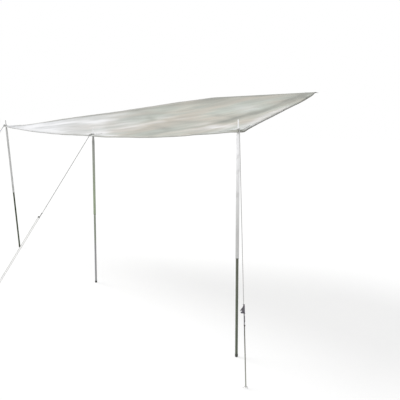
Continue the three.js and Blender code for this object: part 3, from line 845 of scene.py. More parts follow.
def moulded_material(name, colour, roughness):
    """Moulded plastic or rubber with a fine grain and patches of dust."""
    material, tree, shader = new_material(name, colour, roughness)
    place = place_of(tree)
    weather = group_node(tree, "weather", place)
    dusted = math_node(tree, "MULTIPLY", weather.outputs["Streak"], 0.3)
    dust = tuple(min(1.0, channel * 2.5 + 0.03) for channel in colour)
    tree.links.new(mix_colour(tree, dusted, colour, dust), shader.inputs["Base Color"])
    tree.links.new(
        scaled_range(tree, weather.outputs["Grain"], 0.3, 0.7, roughness - 0.1, roughness + 0.12),
        shader.inputs["Roughness"])
    add_bump(tree, shader, weather.outputs["Grain"], 0.4 * MM, 0.5)
    return material


def metal_material(name, colour, roughness, dull, metallic=1.0, low=None):
    """Drawn or plated metal with scratches along it and dull spots; low is its lower colour, which on the upper
    tubes is a painted reflection of the ground.
    """
    material, tree, shader = new_material(name, colour, roughness, metallic)
    place = place_of(tree)
    drawn = group_node(tree, "drawn", place)
    spotted = math_node(tree, "MULTIPLY", drawn.outputs["Spot"], 0.4)
    shown = mix_colour(tree, spotted, colour, dull)
    if low:
        # Painted reflection on the upper tubes: sky above, ground below
        shown = mix_colour(tree, lower_share(tree, *TUBE_REFLECTION_FADE), shown, low)
    tree.links.new(shown, shader.inputs["Base Color"])
    tree.links.new(
        scaled_range(tree, drawn.outputs["Scratch"], 0.3, 0.7, roughness - 0.08, roughness + 0.15),
        shader.inputs["Roughness"])
    add_bump(tree, shader, drawn.outputs["Scratch"], 0.2 * MM, 0.35)
    return material


def lower_share(tree, top, bottom):
    """0 above the top height and 1 below the bottom one."""
    return scaled_range(tree, parts_of(tree, place_of(tree))[2], top, bottom)


def paint_material(name, colour, low=None):
    """Dull paint on a leg, rubbed through to steel here and there; low is its lower colour."""
    material, tree, shader = new_material(name, colour, 0.5)
    place = place_of(tree)
    drawn = group_node(tree, "drawn", place)
    rubbed = scaled_range(tree, drawn.outputs["Scratch"], 0.62, 0.7)
    rubbed = math_node(tree, "MULTIPLY", rubbed, drawn.outputs["Spot"])
    worn = tuple(channel * 1.2 + 0.012 for channel in colour)
    shown = mix_colour(tree, drawn.outputs["Spot"], colour, worn)
    if low:
        shown = mix_colour(tree, lower_share(tree, *PAINT_FADE), shown, low)
    shown = mix_colour(tree, rubbed, shown, (0.36, 0.37, 0.34))
    tree.links.new(shown, shader.inputs["Base Color"])
    tree.links.new(rubbed, shader.inputs["Metallic"])
    add_bump(tree, shader, drawn.outputs["Scratch"], 0.3 * MM, 0.4)
    return material


def rope_material(name, colour, fleck, low=None, fade=None):
    """Round braided rope with a fleck strand, soiled along it; low is its lower colour."""
    material, tree, shader = new_material(name, colour, 0.8)
    shader.inputs["Sheen Weight"].default_value = 0.3
    along = own_uv(tree, "Along")
    braid = group_node(tree, "braid", along)
    soil = scaled_range(tree, noise_node(tree, along, 9, 4), 0.4, 0.75)
    soil = math_node(tree, "MULTIPLY", soil, 0.35)
    shown = mix_colour(tree, soil, colour, tuple(channel * 0.55 for channel in colour))
    marked = math_node(tree, "MULTIPLY", braid.outputs["Fleck"], 0.45)
    shown = mix_colour(tree, marked, shown, fleck)
    if low:
        shown = mix_colour(tree, lower_share(tree, *fade), shown, low)
    tree.links.new(shown, shader.inputs["Base Color"])
    add_bump(tree, shader, braid.outputs["Height"], 1.2 * MM, 1.0)
    return material


MATERIALS = {}


def finish(name):
    """The material of that finish, made the first time it is asked for."""
    if name in MATERIALS:
        return MATERIALS[name]
    scene = bpy.context.scene
    canopy, ropes, poles = scene.awning_canopy, scene.awning_ropes, scene.awning_poles
    makers = {
        "canvas": (canvas_material, canopy),
        # The near edge's webbing carries its painted shade
        "webbing": (webbing_material, "Shaded side webbing", canopy.shaded_hem_colour, canopy.thread_colour),
        "outer webbing": (
            webbing_material, "Outer webbing", canopy.outer_hem, canopy.thread_colour),
        "tape": (tape_material,),
        "teeth": (moulded_material, "Zip teeth", (0.012, 0.012, 0.012), 0.45),
        "nylon": (moulded_material, "Nylon", (0.045, 0.048, 0.045), 0.5),
        "rubber": (moulded_material, "Rubber", poles.rubber, 0.8),
        "brass": (metal_material, "Worn brass", (0.70, 0.64, 0.47), 0.32, (0.42, 0.38, 0.27)),
        "zip metal": (metal_material, "Zip metal", (0.55, 0.55, 0.56), 0.3, (0.30, 0.30, 0.29)),
        "peg": (metal_material, "Plated peg", (0.80, 0.80, 0.81), 0.4, (0.50, 0.48, 0.45)),
        "runner": (metal_material, "Dull plate", ropes.runner, 0.5, (0.07, 0.066, 0.062), 0.6),
        "dark runner": (
            metal_material, "Dark plate", (0.045, 0.047, 0.038), 0.6, (0.030, 0.030, 0.026), 0.4),
        # The upper tubes' lower colours are a painted reflection of the ground
        "steel": (
            metal_material, "Bright steel", poles.steel, 0.42, (0.30, 0.305, 0.29), 1.0,
            (0.57, 0.573, 0.565)),
        "dull steel": (
            metal_material, "Dull steel", poles.dull, 0.5, (0.15, 0.16, 0.14), 1.0,
            (0.36, 0.42, 0.30)),
        "grey steel": (metal_material, "Grey steel", poles.grey, 0.5, (0.22, 0.23, 0.21)),
        "leg": (paint_material, "Leg paint", poles.leg, (0.092, 0.110, 0.074)),
        "pale leg": (paint_material, "Pale leg paint", poles.pale_leg, (0.315, 0.316, 0.325)),
        "dark leg": (paint_material, "Dark leg paint", poles.dark_leg),
        "rope": (
            rope_material, "Guy rope", ropes.colour, (0.30, 0.32, 0.30), (0.34, 0.34, 0.29),
            NEAR_ROPE_FADE),
        # The near tail: soiled, with painted shade, darkest at its upper end
        "soiled and shaded rope": (
            rope_material, "Soiled and shaded guy rope", ropes.shaded_rope, (0.16, 0.17, 0.15), ropes.worn,
            NEAR_TAIL_FADE),
        "dusty rope": (
            rope_material, "Dusty guy rope", ropes.dusty, (0.15, 0.16, 0.14), ropes.fresh,
            MIDDLE_ROPE_FADE),
        "pale rope": (rope_material, "Pale guy rope", ropes.fresh, (0.45, 0.46, 0.42)),
        # The far rope is painted near black as painted shade
        "far rope": (rope_material, "Far guy rope", ropes.shaded_rope, (0.12, 0.12, 0.11)),
        "soiled rope": (rope_material, "Soiled rope", ropes.soiled, (0.04, 0.04, 0.04)),
    }
    make, *values = makers[name]
    MATERIALS[name] = make(*values)
    return MATERIALS[name]


# Shape of the canvas

def mix(a, b, share):
    return a + (b - a) * share


def limit(share):
    return min(1.0, max(0.0, share))


def ease(share):
    share = limit(share)
    return share * share * (3 - 2 * share)


def down_share(depth):
    """0 at the seam and 1 at the eyelets."""
    return limit((depth - REST_DEPTH) / (EYELET_DEPTH - REST_DEPTH))


def near_edge(depth):
    return mix(SEAM_LENGTH / 2, NEAR_REACH + OVERHANG, down_share(depth))


def far_edge(depth):
    return mix(-SEAM_LENGTH / 2, -FAR_REACH - TIP_OVERHANG, down_share(depth))


def cross_share(x, depth):
    """0 at the far edge and 1 at the near one."""
    return (x - far_edge(depth)) / (near_edge(depth) - far_edge(depth))


def span_of(x):
    return NEAR_REACH + MIDDLE_REACH if x > -MIDDLE_REACH else FAR_REACH - MIDDLE_REACH


def span_share(x):
    """0 at the middle pole and 1 at the poles on both sides."""
    return limit(abs(x + MIDDLE_REACH) / span_of(x))


def edge_set(x):
    """How far the outer edge is set in towards the middle pole."""
    return MIDDLE_SET * (1 - span_share(x))


def uneven(x, depth, across, down, layer):
    """Smooth noise from -1 to 1, at that many swells a metre each way."""
    return noise.noise(Vector((x * across, depth * down, layer)))


# Main folds, as in the part's source: from a share of the seam to a share of the outer edge,
# then the depth and half width as shares of those in the settings
MAIN_FOLDS = (
    (0.97, 0.865, 1.0, 1.0), (0.9, 0.76, -0.45, 1.3),
    (0.42, 0.3, 0.55, 2.0), (0.12, 0.16, -0.3, 2.0),
)

# Fine folds that the tension draws: (x, depth) at both ends, depth of the fold, half width;
# each runs on past its ends by a share of its length
FOLD_PAST_SHARE = 0.1
FINE_FOLDS = (
    ((0.72, 0.25), (-1.00, 1.76), 0.0060, 0.050),
    ((0.70, 0.40), (-0.20, 1.86), 0.0080, 0.060),
    ((0.76, 0.30), (0.47, 1.80), 0.0100, 0.045),
    ((0.80, 0.40), (0.98, 1.80), 0.0050, 0.040),
    ((0.20, 0.15), (-1.10, 1.74), -0.0050, 0.060),
    ((-0.45, 0.15), (-1.14, 1.70), 0.0050, 0.050),
    ((-0.70, 0.30), (-1.22, 1.70), -0.0040, 0.055),
    ((-1.24, 1.78), (-3.20, 1.80), 0.0060, 0.045),
    ((-1.20, 1.20), (-3.40, 1.82), 0.0050, 0.050),
    ((-0.80, 0.25), (-3.35, 1.76), -0.0060, 0.060),
    ((0.90, 1.84), (-0.60, 1.80), 0.0060, 0.045),
    ((0.30, 0.60), (0.96, 1.84), -0.0060, 0.050),
)


def main_folds(share, depth, settings):
    """Broad folds from the seam to the outer edge, faded out at both."""
    down = down_share(depth)
    width = near_edge(depth) - far_edge(depth)
    fade = math.sin(math.pi * down ** 0.8)
    height = 0.0
    for start, end, weight, wide in MAIN_FOLDS:
        away = (share - mix(start, end, down)) * width / (settings.fold_width * wide)
        height -= weight * settings.fold_depth * fade * math.exp(-away * away)
    return height


def fine_folds(x, depth):
    """Ridges and furrows along lines of tension, widening on the way and faded at both ends."""
    height = 0.0
    for start, end, drop, wide in FINE_FOLDS:
        run_x, run_y = end[0] - start[0], end[1] - start[1]
        length = math.hypot(run_x, run_y)
        along = ((x - start[0]) * run_x + (depth - start[1]) * run_y) / length ** 2
        before, after = along + FOLD_PAST_SHARE, 1 + FOLD_PAST_SHARE - along
        if min(before, after) <= 0:
            continue
        away = ((x - start[0]) * run_y - (depth - start[1]) * run_x) / length
        away += FOLD_WANDER * uneven(along, drop, 3, 900, 0)
        away /= wide * (0.6 + limit(along))
        height -= drop * math.exp(-away * away) * ease(before * 4) * ease(after * 5)
    return height


# Marks on the canvas: (x, depth, strength) along each, then its half width; dark ones are
# painted shade in the furrows and along the zip, and darker lines and patches; light ones are
# painted highlights on the ridges and along the near and outer edges, and paler patches
TONES = (
    (((-3.40, 1.82, -0.5), (-2.70, 1.36, -0.7), (-2.15, 1.05, -0.6), (-1.60, 0.74, -0.7),
      (-1.15, 0.50, -0.3)), 0.070),
    # Painted shade in the main furrow by the near edge
    (((0.72, 0.12, -0.9), (0.66, 0.30, -0.75), (0.62, 0.60, -0.65), (0.58, 1.00, -0.8),
      (0.47, 1.32, -0.8), (0.28, 1.58, -0.7), (-0.02, 1.70, -0.6), (-0.40, 1.77, -0.3)), 0.042),
    # Painted shadow along the zip, where the canvas meets the tent's roof
    (((-0.75, 0.06, -0.5), (-0.35, 0.06, -1.2), (0.10, 0.06, -1.0), (0.50, 0.06, -0.9),
      (0.78, 0.08, -1.0)), 0.050),
    (((-0.70, 0.25, -0.30), (0.60, 0.25, -0.30)), 0.250),
    (((-3.20, 1.66, -0.2), (-2.60, 1.26, -1.1), (-1.70, 0.66, -0.9), (-1.20, 0.33, -0.3)),
     0.045),
    (((-0.95, 0.16, -0.5), (-0.70, 0.10, -0.9), (-0.50, 0.10, -0.3)), 0.120),
    (((-0.95, 1.46, 0.25), (-0.75, 1.50, 0.25)), 0.120),
    (((0.30, 1.48, 0.25), (0.60, 1.50, 0.30)), 0.120),
    (((0.62, 0.14, -0.5), (0.84, 0.34, -0.8)), 0.050),
    (((-1.20, 0.95, -0.2), (-1.02, 1.06, -0.6), (-0.88, 1.16, -0.2)), 0.035),
    (((-0.75, 1.10, -0.2), (-0.35, 1.22, -0.5), (0.10, 1.32, -0.4), (0.45, 1.34, -0.5)), 0.055),
    (((-0.60, 1.38, -0.2), (-0.32, 1.52, -0.5), (-0.05, 1.66, -0.5)), 0.055),
    (((-0.15, 0.85, -0.1), (0.15, 1.05, -0.4), (0.50, 1.20, -0.4)), 0.050),
    (((-1.20, 0.52, -0.4), (-0.90, 0.34, -0.5), (-0.50, 0.22, -0.3)), 0.120),
    (((-1.60, 0.84, -0.4), (-1.20, 0.86, -0.35), (-0.80, 0.70, -0.2)), 0.080),
    (((-1.00, 1.62, -0.1), (-0.60, 1.66, -0.3), (0.00, 1.55, -0.2)), 0.100),
    (((-3.20, 1.86, -0.2), (-2.30, 1.50, -0.3), (-1.75, 1.40, -0.25)), 0.045),
    (((-3.45, 1.85, 0.5), (-2.60, 1.56, 0.9), (-2.10, 1.38, 0.8), (-1.65, 1.22, 0.4)), 0.050),
    (((-3.10, 1.84, 0.6), (-2.40, 1.80, 1.0), (-1.95, 1.82, 0.5)), 0.055),
    (((-3.05, 1.62, 0.5), (-2.35, 1.20, 0.4), (-1.75, 0.96, 0.3)), 0.055),
    (((-1.20, 1.66, 0.1), (-0.90, 1.38, 0.35), (-0.35, 1.04, 0.3), (-0.05, 0.90, 0.1)), 0.080),
    (((-1.85, 1.30, 0.2), (-1.45, 1.58, 0.35), (-1.20, 1.74, 0.2)), 0.090),
    (((-1.24, 1.80, 0.7), (-1.10, 1.78, 0.7)), 0.100),
    (((-1.10, 1.86, 0.9), (-0.95, 1.86, 0.9), (-0.72, 1.87, 0.5)), 0.030),
    # Painted highlights on the ridge by the near edge, and along the near edge itself
    (((0.80, 0.50, 0.2), (0.86, 0.95, 0.45), (0.92, 1.40, 0.5), (1.00, 1.80, 0.4)), 0.060),
    (((0.86, 0.30, 0.3), (0.93, 0.95, 0.5), (1.05, 1.78, 0.5)), 0.020),
    (((0.34, 1.52, 0.2), (0.55, 1.56, 0.5), (0.80, 1.70, 0.5)), 0.060),
    (((-0.20, 0.48, 0.0), (0.15, 0.62, 0.25), (0.50, 0.92, 0.2)), 0.110),
    (((-3.18, 1.60, 0.6), (-2.95, 1.72, 0.6)), 0.120),
    (((-2.20, 1.72, 0.35), (-1.60, 1.78, 0.25), (-1.20, 1.76, 0.40)), 0.110),
    (((-2.15, 1.34, 0.40), (-1.90, 1.30, 0.35)), 0.150),
    (((-1.30, 1.32, 0.35), (-1.12, 1.30, 0.30)), 0.130),
    (((-0.86, 1.00, 0.22), (-0.74, 1.06, 0.22)), 0.130),
    (((-0.90, 1.64, 0.22), (-0.70, 1.64, 0.22)), 0.110),
    (((-0.10, 1.62, 0.20), (0.50, 1.64, 0.18)), 0.120),
    (((0.74, 1.86, 0.28), (0.94, 1.84, 0.28)), 0.080),
    (((-2.42, 1.15, -0.80), (-2.26, 1.05, -0.70)), 0.080),
    (((0.74, 0.42, -0.50), (0.80, 0.64, -0.32)), 0.110),
    (((-0.50, 1.00, -0.16), (0.10, 1.00, -0.16)), 0.130),
    (((-0.90, 0.10, -0.40), (-0.72, 0.14, -0.35)), 0.110),
    (((-1.30, 1.88, 0.30), (-1.18, 1.86, 0.40)), 0.070),
    # Painted highlight along the outer edge
    (((-3.30, 1.89, 0.3), (-1.40, 1.86, 0.3), (-1.10, 1.86, 0.6), (-0.80, 1.87, 0.4),
      (0.20, 1.87, 0.5), (0.95, 1.87, 0.4)), 0.022),
)

# The light marks, painted highlights among them, add up to no more than this
MOST_LIGHTENED = 0.78


def near_to(x, depth, start, end):
    """How far a place is from a stretch, and how far along it the nearest point lies."""
    run_x, run_y = end[0] - start[0], end[1] - start[1]
    along = ((x - start[0]) * run_x + (depth - start[1]) * run_y) / (run_x ** 2 + run_y ** 2)
    along = limit(along)
    return math.hypot(x - start[0] - run_x * along, depth - start[1] - run_y * along), along


def canvas_tone(x, depth):
    """The marks at a place, added up: below 0 is dark and over 0 is light, painted shade and highlights among
    them, but never quite bare.
    """
    wander = TONE_WANDER * uneven(x, depth, 2.3, 2.3, 3.1)
    total = 0.0
    for marks, width in TONES:
        best = 0.0
        for start, end in zip(marks, marks[1:]):
            away, along = near_to(x + wander, depth - wander, start, end)
            strength = mix(start[2], end[2], along) * math.exp(-(away / width) ** 2)
            if abs(strength) > abs(best):
                best = strength
        total += best
    return min(total, MOST_LIGHTENED)


def slack(x, depth):
    """Soft unevenness of old canvas, none at the seam."""
    broad = BROAD_SLACK * uneven(x, depth, 1.6, 2.4, 1.7)
    small = SMALL_SLACK * uneven(x, depth, 6, 9, 4.2)
    return (broad + small) * ease(down_share(depth) * 6)


def canvas_height(x, depth, settings):
    """Height of the canvas's middle; the powers put the far edge's sag and dip past its middle."""
    down = down_share(depth)
    if down == 0:
        return CANVAS_MID
    share = cross_share(x, depth)
    along = span_share(mix(far_edge(OUTER_DEPTH), near_edge(OUTER_DEPTH), share))
    sag = 4 * settings.outer_sag * along * (1 - along) * down * down
    belly = 4 * settings.belly * share * (1 - share) * math.sin(math.pi * down)
    dip = settings.far_sag * (1 - share) ** 4 * math.sin(math.pi * down ** 1.5)
    dip += settings.tip_sag * (1 - share) ** 8 * math.sin(math.pi * down ** 5.7) ** 2
    height = mix(CANVAS_MID, mix(MIDDLE_Z, CORNER_Z, along), down) - sag - belly - dip
    return height + main_folds(share, depth, settings) + fine_folds(x, depth) + slack(x, depth)


EYELETS = {
    "near": Vector((NEAR_REACH, -PROJECTION, CORNER_Z)),
    "middle": Vector((-MIDDLE_REACH, -PROJECTION + MIDDLE_SET, MIDDLE_Z)),
    "far": Vector((-FAR_REACH, -PROJECTION, CORNER_Z)),
}


def flattened(x, y, height):
    """The canvas lies flat under an eyelet's flanges, and eases away from it."""
    for eye in EYELETS.values():
        away = math.hypot(x - eye.x, y - eye.y) - EYELET_FLAT
        height = mix(eye.z, height, ease(away / EYELET_EASE))
    return height


def hem_fall(x, depth, settings):
    """The hem hangs from the outer edge and from the near edge, lowest at the near corner."""
    outside = limit((depth - PROJECTION - FLAT_HALF) / LIP)
    past = limit((x - near_edge(depth) + LIP) / LIP) * limit((depth - REST_DEPTH) / HEM_LEAD)
    ripple = 1 + RIPPLE_SHARE * uneven(x, depth, 5, 5, 8)
    return settings.hem_drop * ripple * math.sin(max(outside, past) * math.pi / 2) ** 2


def corner_pull(x, depth):
    """The near corner is rounded: its points are drawn inwards."""
    aside = limit(1 - (near_edge(depth) - x) / CORNER_SPAN)
    outward = limit(1 - (OUTER_DEPTH - depth) / CORNER_SPAN)
    return CORNER_CUT * (aside * outward) ** 2


def canvas_point(share, shift, depth, rise, settings):
    """A point on a layer of the canvas that lies that far over its middle."""
    x = mix(far_edge(depth), near_edge(depth), share) + shift
    y = -depth + edge_set(x) * down_share(depth)
    pull = corner_pull(x, depth)
    height = flattened(x, y, canvas_height(x, depth, settings))
    return Vector((x - pull, y + pull, height - hem_fall(x, depth, settings) + rise))


def even(low, high, step):
    """Numbers from low to high, about step apart, without high."""
    count = max(1, round((high - low) / step))
    return [mix(low, high, k / count) for k in range(count)]


def lip_columns():
    """Columns close together in the near edge's lip."""
    return [(1.0, -shift) for shift in reversed(even(0.0, LIP, LIP / LIP_STEPS))]


def column_lines(step):
    """Columns of the canvas: (share, shift), close together in the two side hems."""
    far = [(0.0, shift) for shift in even(0.0, SIDE_BORDER, SIDE_STEP)]
    inner = [(share, SIDE_BORDER * (1 - 2 * share)) for share in even(0.0, 1.0, step / OUTER_WIDTH)]
    return far + inner + [(1.0, -shift) for shift in NEAR_LINES] + lip_columns()


def row_lines(step):
    """Rows of the canvas by depth, close together in the outer hem."""
    fold = OUTER_DEPTH - LIP
    seam, field = even(INNER_DEPTH, REST_DEPTH, SEAM_STEP), even(REST_DEPTH, EYELET_DEPTH, step)
    hem, lip = even(EYELET_DEPTH, fold, HEM_STEP), even(fold, OUTER_DEPTH, LIP / LIP_STEPS)
    return seam + field + hem + lip + [OUTER_DEPTH]


def canvas_grid(columns, rows, rise, settings):
    """A grid of the canvas with its distances from the nearest edge, for the stitching."""
    shape = bmesh.new()
    layers = shape.verts.layers.float
    names = ("edge_run", "edge_away", "tone")
    for name in names:
        layers.new(name)
    run, away, tone = (layers[name] for name in names)
    across, down = len(columns) - 1, len(rows) - 1
    bmesh.ops.create_grid(shape, x_segments=across, y_segments=down, size=0.5)
    for vert in shape.verts:
        share, shift = columns[round((vert.co.x + 0.5) * across)]
        depth = rows[round((0.5 - vert.co.y) * down)]
        vert.co = canvas_point(share, shift, depth, rise, settings)
        x = vert.co.x
        gaps = ((OUTER_DEPTH - depth, x), (near_edge(depth) - x, depth),
                ((x - far_edge(depth)) * FAR_SQUARE_SHARE, depth * FAR_RUN_SHARE),
                (depth - INNER_DEPTH, x))
        vert[away], vert[run] = min(gaps)
        vert[tone] = canvas_tone(x, depth)
    bmesh.ops.recalc_face_normals(shape, faces=shape.faces)
    if sum(face.normal.z for face in shape.faces) < 0:
        bmesh.ops.reverse_faces(shape, faces=shape.faces)
    return shape


def thickened(shape, thickness):
    """Gives a sheet its thickness, half to each side."""
    bmesh.ops.translate(shape, vec=(0, 0, thickness / 2), verts=shape.verts)
    bmesh.ops.solidify(shape, geom=shape.faces[:], thickness=thickness)
    bmesh.ops.recalc_face_normals(shape, faces=shape.faces)
    return shape


def holed(piece):
    """Cuts the three eyelet holes through a piece."""
    profile = ring_profile(0, HOLE_RADIUS, -HOLE_REACH, HOLE_REACH)
    mesh = as_mesh(merged(*[moved(turned(profile, 32), *eye) for eye in EYELETS.values()]), "holes")
    tool = linked("holes", mesh)
    cut = piece.modifiers.new("Eyelet holes", "BOOLEAN")
    cut.object, cut.operation, cut.solver = tool, "DIFFERENCE", "EXACT"
    applied(piece)
    bpy.data.objects.remove(tool)
    bpy.data.meshes.remove(mesh)
    return piece


def applied(piece):
    """Applies a piece's modifiers to its mesh."""
    graph = bpy.context.evaluated_depsgraph_get()
    graph.update()
    fresh = bpy.data.meshes.new_from_object(piece.evaluated_get(graph))
    before = piece.data
    piece.modifiers.clear()
    piece.data = fresh
    bpy.data.meshes.remove(before)
    fresh.name = piece.name
    return piece


# Guy ropes

def guy_lines(name):
    """The places and directions of one guy rope, as in the part's source."""
    eye, peg = EYELETS[name], PEGS[name]
    out = Vector((peg[0] - eye.x, peg[1] - eye.y, 0)).normalized()
    edge = min(OVERHANG / abs(out.x), OVERHANG / abs(out.y))
    flat = FLAT_HALF / max(abs(out.x), abs(out.y))
    edge_top = PATCH_TOP - HEM_DROP
    hem = eye + out * (edge + HEM_CLEAR) + UP * (edge_top - HEM_CLEAR)
    side = Vector((out.y, -out.x, 0))
    hook = Vector((peg[0], peg[1], HOOK_RISE - SEAM_HEIGHT))
    up = (hem - hook).normalized()
    foot = hook - up.cross(side) * STRAND_GAP / 2 + up * (TURN_LIFT + FIT)
    up = (hem - foot).normalized()
    return {"eye": eye, "out": out, "edge": edge, "flat": flat, "edge_top": edge_top,
            "hem": hem, "side": side, "pair": up.cross(side), "hook": hook, "foot": foot, "up": up}


def on_circle(radius, turn):
    return radius * math.cos(turn), radius * math.sin(turn)


def strand_path(line):
    """From the free end, round the spike, over the edge and straight down to the peg."""
    rise = FLANGE_TOP + FIT + ROPE_RADIUS

    def at(reach, across, height=rise):
        return line["eye"] + line["out"] * reach + line["side"] * across + UP * height

    points = [at(*place) for place in LOOP_START]
    for k in range(9):
        points.append(at(*on_circle(LOOP_RADIUS, math.radians(mix(*LOOP_TURN, k / 8)))))
    points += [at(*place) for place in LOOP_END]
    points.append(at(line["flat"] + LOOP_LEAD[0], LOOP_LEAD[1]))
    points.append(at(line["edge"] + HEM_CLEAR / 2, 0, line["edge_top"] + ROPE_RADIUS * 1.5))
    points.append(line["hem"])
    path = smooth_path(points, BEND_STEP)
    for k in range(STRAND_STEPS):
        path.append(line["hem"].lerp(line["foot"], (k + 1) / STRAND_STEPS))
    return path


def tail_path(line, reach):
    """Round under the peg's hook and back up beside the strand to the knot."""
    half = STRAND_GAP / 2
    start = TURN_LIFT * 2

    def at(across, height):
        return line["hook"] + line["pair"] * across + line["up"] * height

    points = [at(-half, TURN_LIFT), at(-half, TURN_LIFT / 2)]
    for k in range(7):
        points.append(at(*on_circle(half, math.pi * (1 + k / 6))))
    points += [at(half, TURN_LIFT / 2), at(half, start)]
    path = smooth_path(points, HOOK_STEP)
    for k in range(TAIL_STEPS):
        path.append(at(half, mix(start, reach, (k + 1) / TAIL_STEPS)))
    return path


def runner_matrix(line, reach):
    outward = line["up"].cross(line["side"])
    return basis(line["foot"] + line["up"] * reach, line["side"], outward, line["up"])


def knot_foot(name):
    """Where a tail's knot starts, on the runner's own axis."""
    base = -RUNNER_HEIGHT / 2
    if name == "near":
        return base - FIT * 2 - SPRING_BODY - SPRING_END * 2 - KNOT_LENGTH
    return base + RUNNER_THICK + FIT


def eye_knot(line):
    """The tie that closes the loop: the rope's end wound round both strands."""
    centre = line["eye"] + UP * (FLANGE_TOP + FIT + ROPE_RADIUS + TIE_LIFT)
    path = []
    steps = 20
    for k in range(TIE_TURNS * steps + 1):
        angle = 2 * math.pi * k / steps
        reach = TIE_REACH + TIE_PITCH * k / steps
        across = TIE_ASIDE + TIE_WIDTH * math.cos(angle)
        height = TIE_HEIGHT * math.sin(angle)
        path.append(centre + line["out"] * reach + line["side"] * across + UP * height)
    return swept(path, TIE_RADIUS, 8)


def knot_shape():
    """A stopper knot: a rope wound over itself, on a swollen core."""
    path = []
    turns, steps = 3, 18
    count = turns * steps
    swell, core = KNOT_RADIUS - ROPE_RADIUS * 0.95, ROPE_RADIUS * 1.1
    for k in range(count + 1):
        lift = mix(ROPE_RADIUS, KNOT_LENGTH - ROPE_RADIUS, k / count)
        path.append(Vector((*on_circle(swell, 2 * math.pi * k / steps), lift)))
    profile = [(0, 0), (ROPE_RADIUS, 0), (core, KNOT_LENGTH * 0.3), (core, KNOT_LENGTH * 0.7),
               (ROPE_RADIUS, KNOT_LENGTH), (0, KNOT_LENGTH)]
    return merged(swept(path, ROPE_RADIUS * 0.92, 10), turned(profile, 24))


def spring_path():
    """A close helix that narrows at both ends to a neck of wound wire."""
    pitch, steps = SPRING_BODY / SPRING_CURLS, 14
    count = round((SPRING_BODY + SPRING_END * 2) / pitch * steps)
    path = []
    for k in range(count + 1):
        rise = mix(-SPRING_END, SPRING_BODY + SPRING_END, k / count)
        outside = max(-rise, rise - SPRING_BODY, 0.0)
        radius = mix(SPRING_RADIUS, SPRING_NECK, ease(outside / (pitch * 2)))
        path.append(Vector((*on_circle(radius, 2 * math.pi * k / steps), rise)))
    return path


def block(low, high):
    """A box between two corners, with its edges softened."""
    shape = bmesh.new()
    size = [b - a for a, b in zip(low, high)]
    middle = [(a + b) / 2 for a, b in zip(low, high)]
    bmesh.ops.create_cube(
        shape, size=1.0, matrix=Matrix.Translation(middle) @ Matrix.Diagonal((*size, 1)))
    soften(shape, ROUND)
    return shape


def lug_shape(height, reach, bores):
    """A tab folded from the runner's plate, with round eyes at 0 and at its reach."""
    half = RUNNER_THICK / 2
    side = half * 0.97
    parts = []
    for place, hole in zip((0, reach), bores):
        ring = turned(ring_profile(hole, LUG_RADIUS, -half, half), 32, ROUND)
        parts.append(moved(ring, 0, place, 0))
    for edge in (-LUG_RADIUS, LUG_BORE):
        parts.append(block((edge, 0, -side), (edge + LUG_RADIUS - LUG_BORE, reach, side)))
    return moved(merged(*parts), 0, 0, height)


def runner_shape(sprung):
    """The runner: a folded plate with barbs along one edge and three eyes for the rope."""
    high = RUNNER_HEIGHT / 2
    face = ROPE_RADIUS + FIT * 2
    end = high - RUNNER_THICK / 2
    outline = [(wide * RUNNER_WIDTH, tall * high) for wide, tall in RUNNER_SHARES]
    board = moved(plate(outline, RUNNER_THICK, FULL_ROUND), 0, face, 0)
    return merged(board, lug_shape(end, face + RUNNER_THICK / 2, [LUG_BORE]),
                  lug_shape(-end, STRAND_GAP, [LUG_BORE, SPRING_EYE if sprung else LUG_BORE]))


def peg_path(line):
    """A bent wire peg: the buried shank, the bend and the hook's arm."""
    def at(level, height):
        return line["hook"] + line["side"] * level + UP * height

    points = [
        at(-PEG_BACK, -PEG_DEPTH), at(-PEG_BACK, -PEG_DEPTH / 2), at(-PEG_BACK, -HOOK_RISE),
        at(-PEG_BACK * 0.75, -HOOK_RISE * 0.2), at(-PEG_BACK * 0.45, 0), at(0, 0),
        at(PEG_ARM * 0.6, 0), at(PEG_ARM, -PEG_TIP * 0.35), at(PEG_ARM * 1.1, -PEG_TIP)]
    return smooth_path(points, HOOK_STEP)


# Poles

def pole_matrix(name):
    """The pole's own axes at its pivot under the eyelet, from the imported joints."""
    pivot = Vector(JOINTS[f"{name}_pole_swing"]["pos_m"])
    up = Vector(JOINTS[f"{name}_leg_slide"]["axis"]).normalized()
    x = Vector((up.z, 0, -up.x))
    return basis(pivot, x, up.cross(x), up), pivot


def pole_length(name):
    pivot = pole_matrix(name)[1]
    foot = next(mount for mount in frame["record"]["mounts"] if mount["name"] == f"{name}_foot")
    return (Vector(foot["pos_m"]) - pivot).length


def spike_profile():
    top = SPIKE_HEIGHT - FLANGE_LOW
    neck = top - SPIKE_RADIUS * 1.4
    return [(0, -SPIKE_ROOT), (SPIKE_RADIUS, -SPIKE_ROOT), (SPIKE_RADIUS, neck),
            (SPIKE_RADIUS * 0.93, top - SPIKE_RADIUS * 0.7),
            (SPIKE_RADIUS * 0.72, top - SPIKE_RADIUS * 0.28),
            (SPIKE_RADIUS * 0.4, top - SPIKE_RADIUS * 0.06), (0, top)]


def plug_profile():
    bore, stub = SPIKE_RADIUS + FIT, TUBE_BORE - FIT
    return [(bore, -TAPER_LENGTH - PLUG_DEPTH), (stub, -TAPER_LENGTH - PLUG_DEPTH),
            (stub, -TAPER_LENGTH), (TUBE_RADIUS, -TAPER_LENGTH),
            (TUBE_RADIUS, -TAPER_LENGTH + PLUG_LAND), (TUBE_RADIUS * 0.9, -TAPER_LENGTH * 0.6),
            (SHOULDER_RADIUS, -SHOULDER_FALL), (bore, 0)]


def bush_profile(low):
    inner, stub = LEG_RADIUS + FIT, TUBE_BORE - FIT
    return [(inner, low - FIT - BUSH_FLANGE), (TUBE_RADIUS, low - FIT - BUSH_FLANGE),
            (TUBE_RADIUS, low - FIT), (stub, low - FIT), (stub, low + BUSH_LENGTH),
            (inner, low + BUSH_LENGTH)]


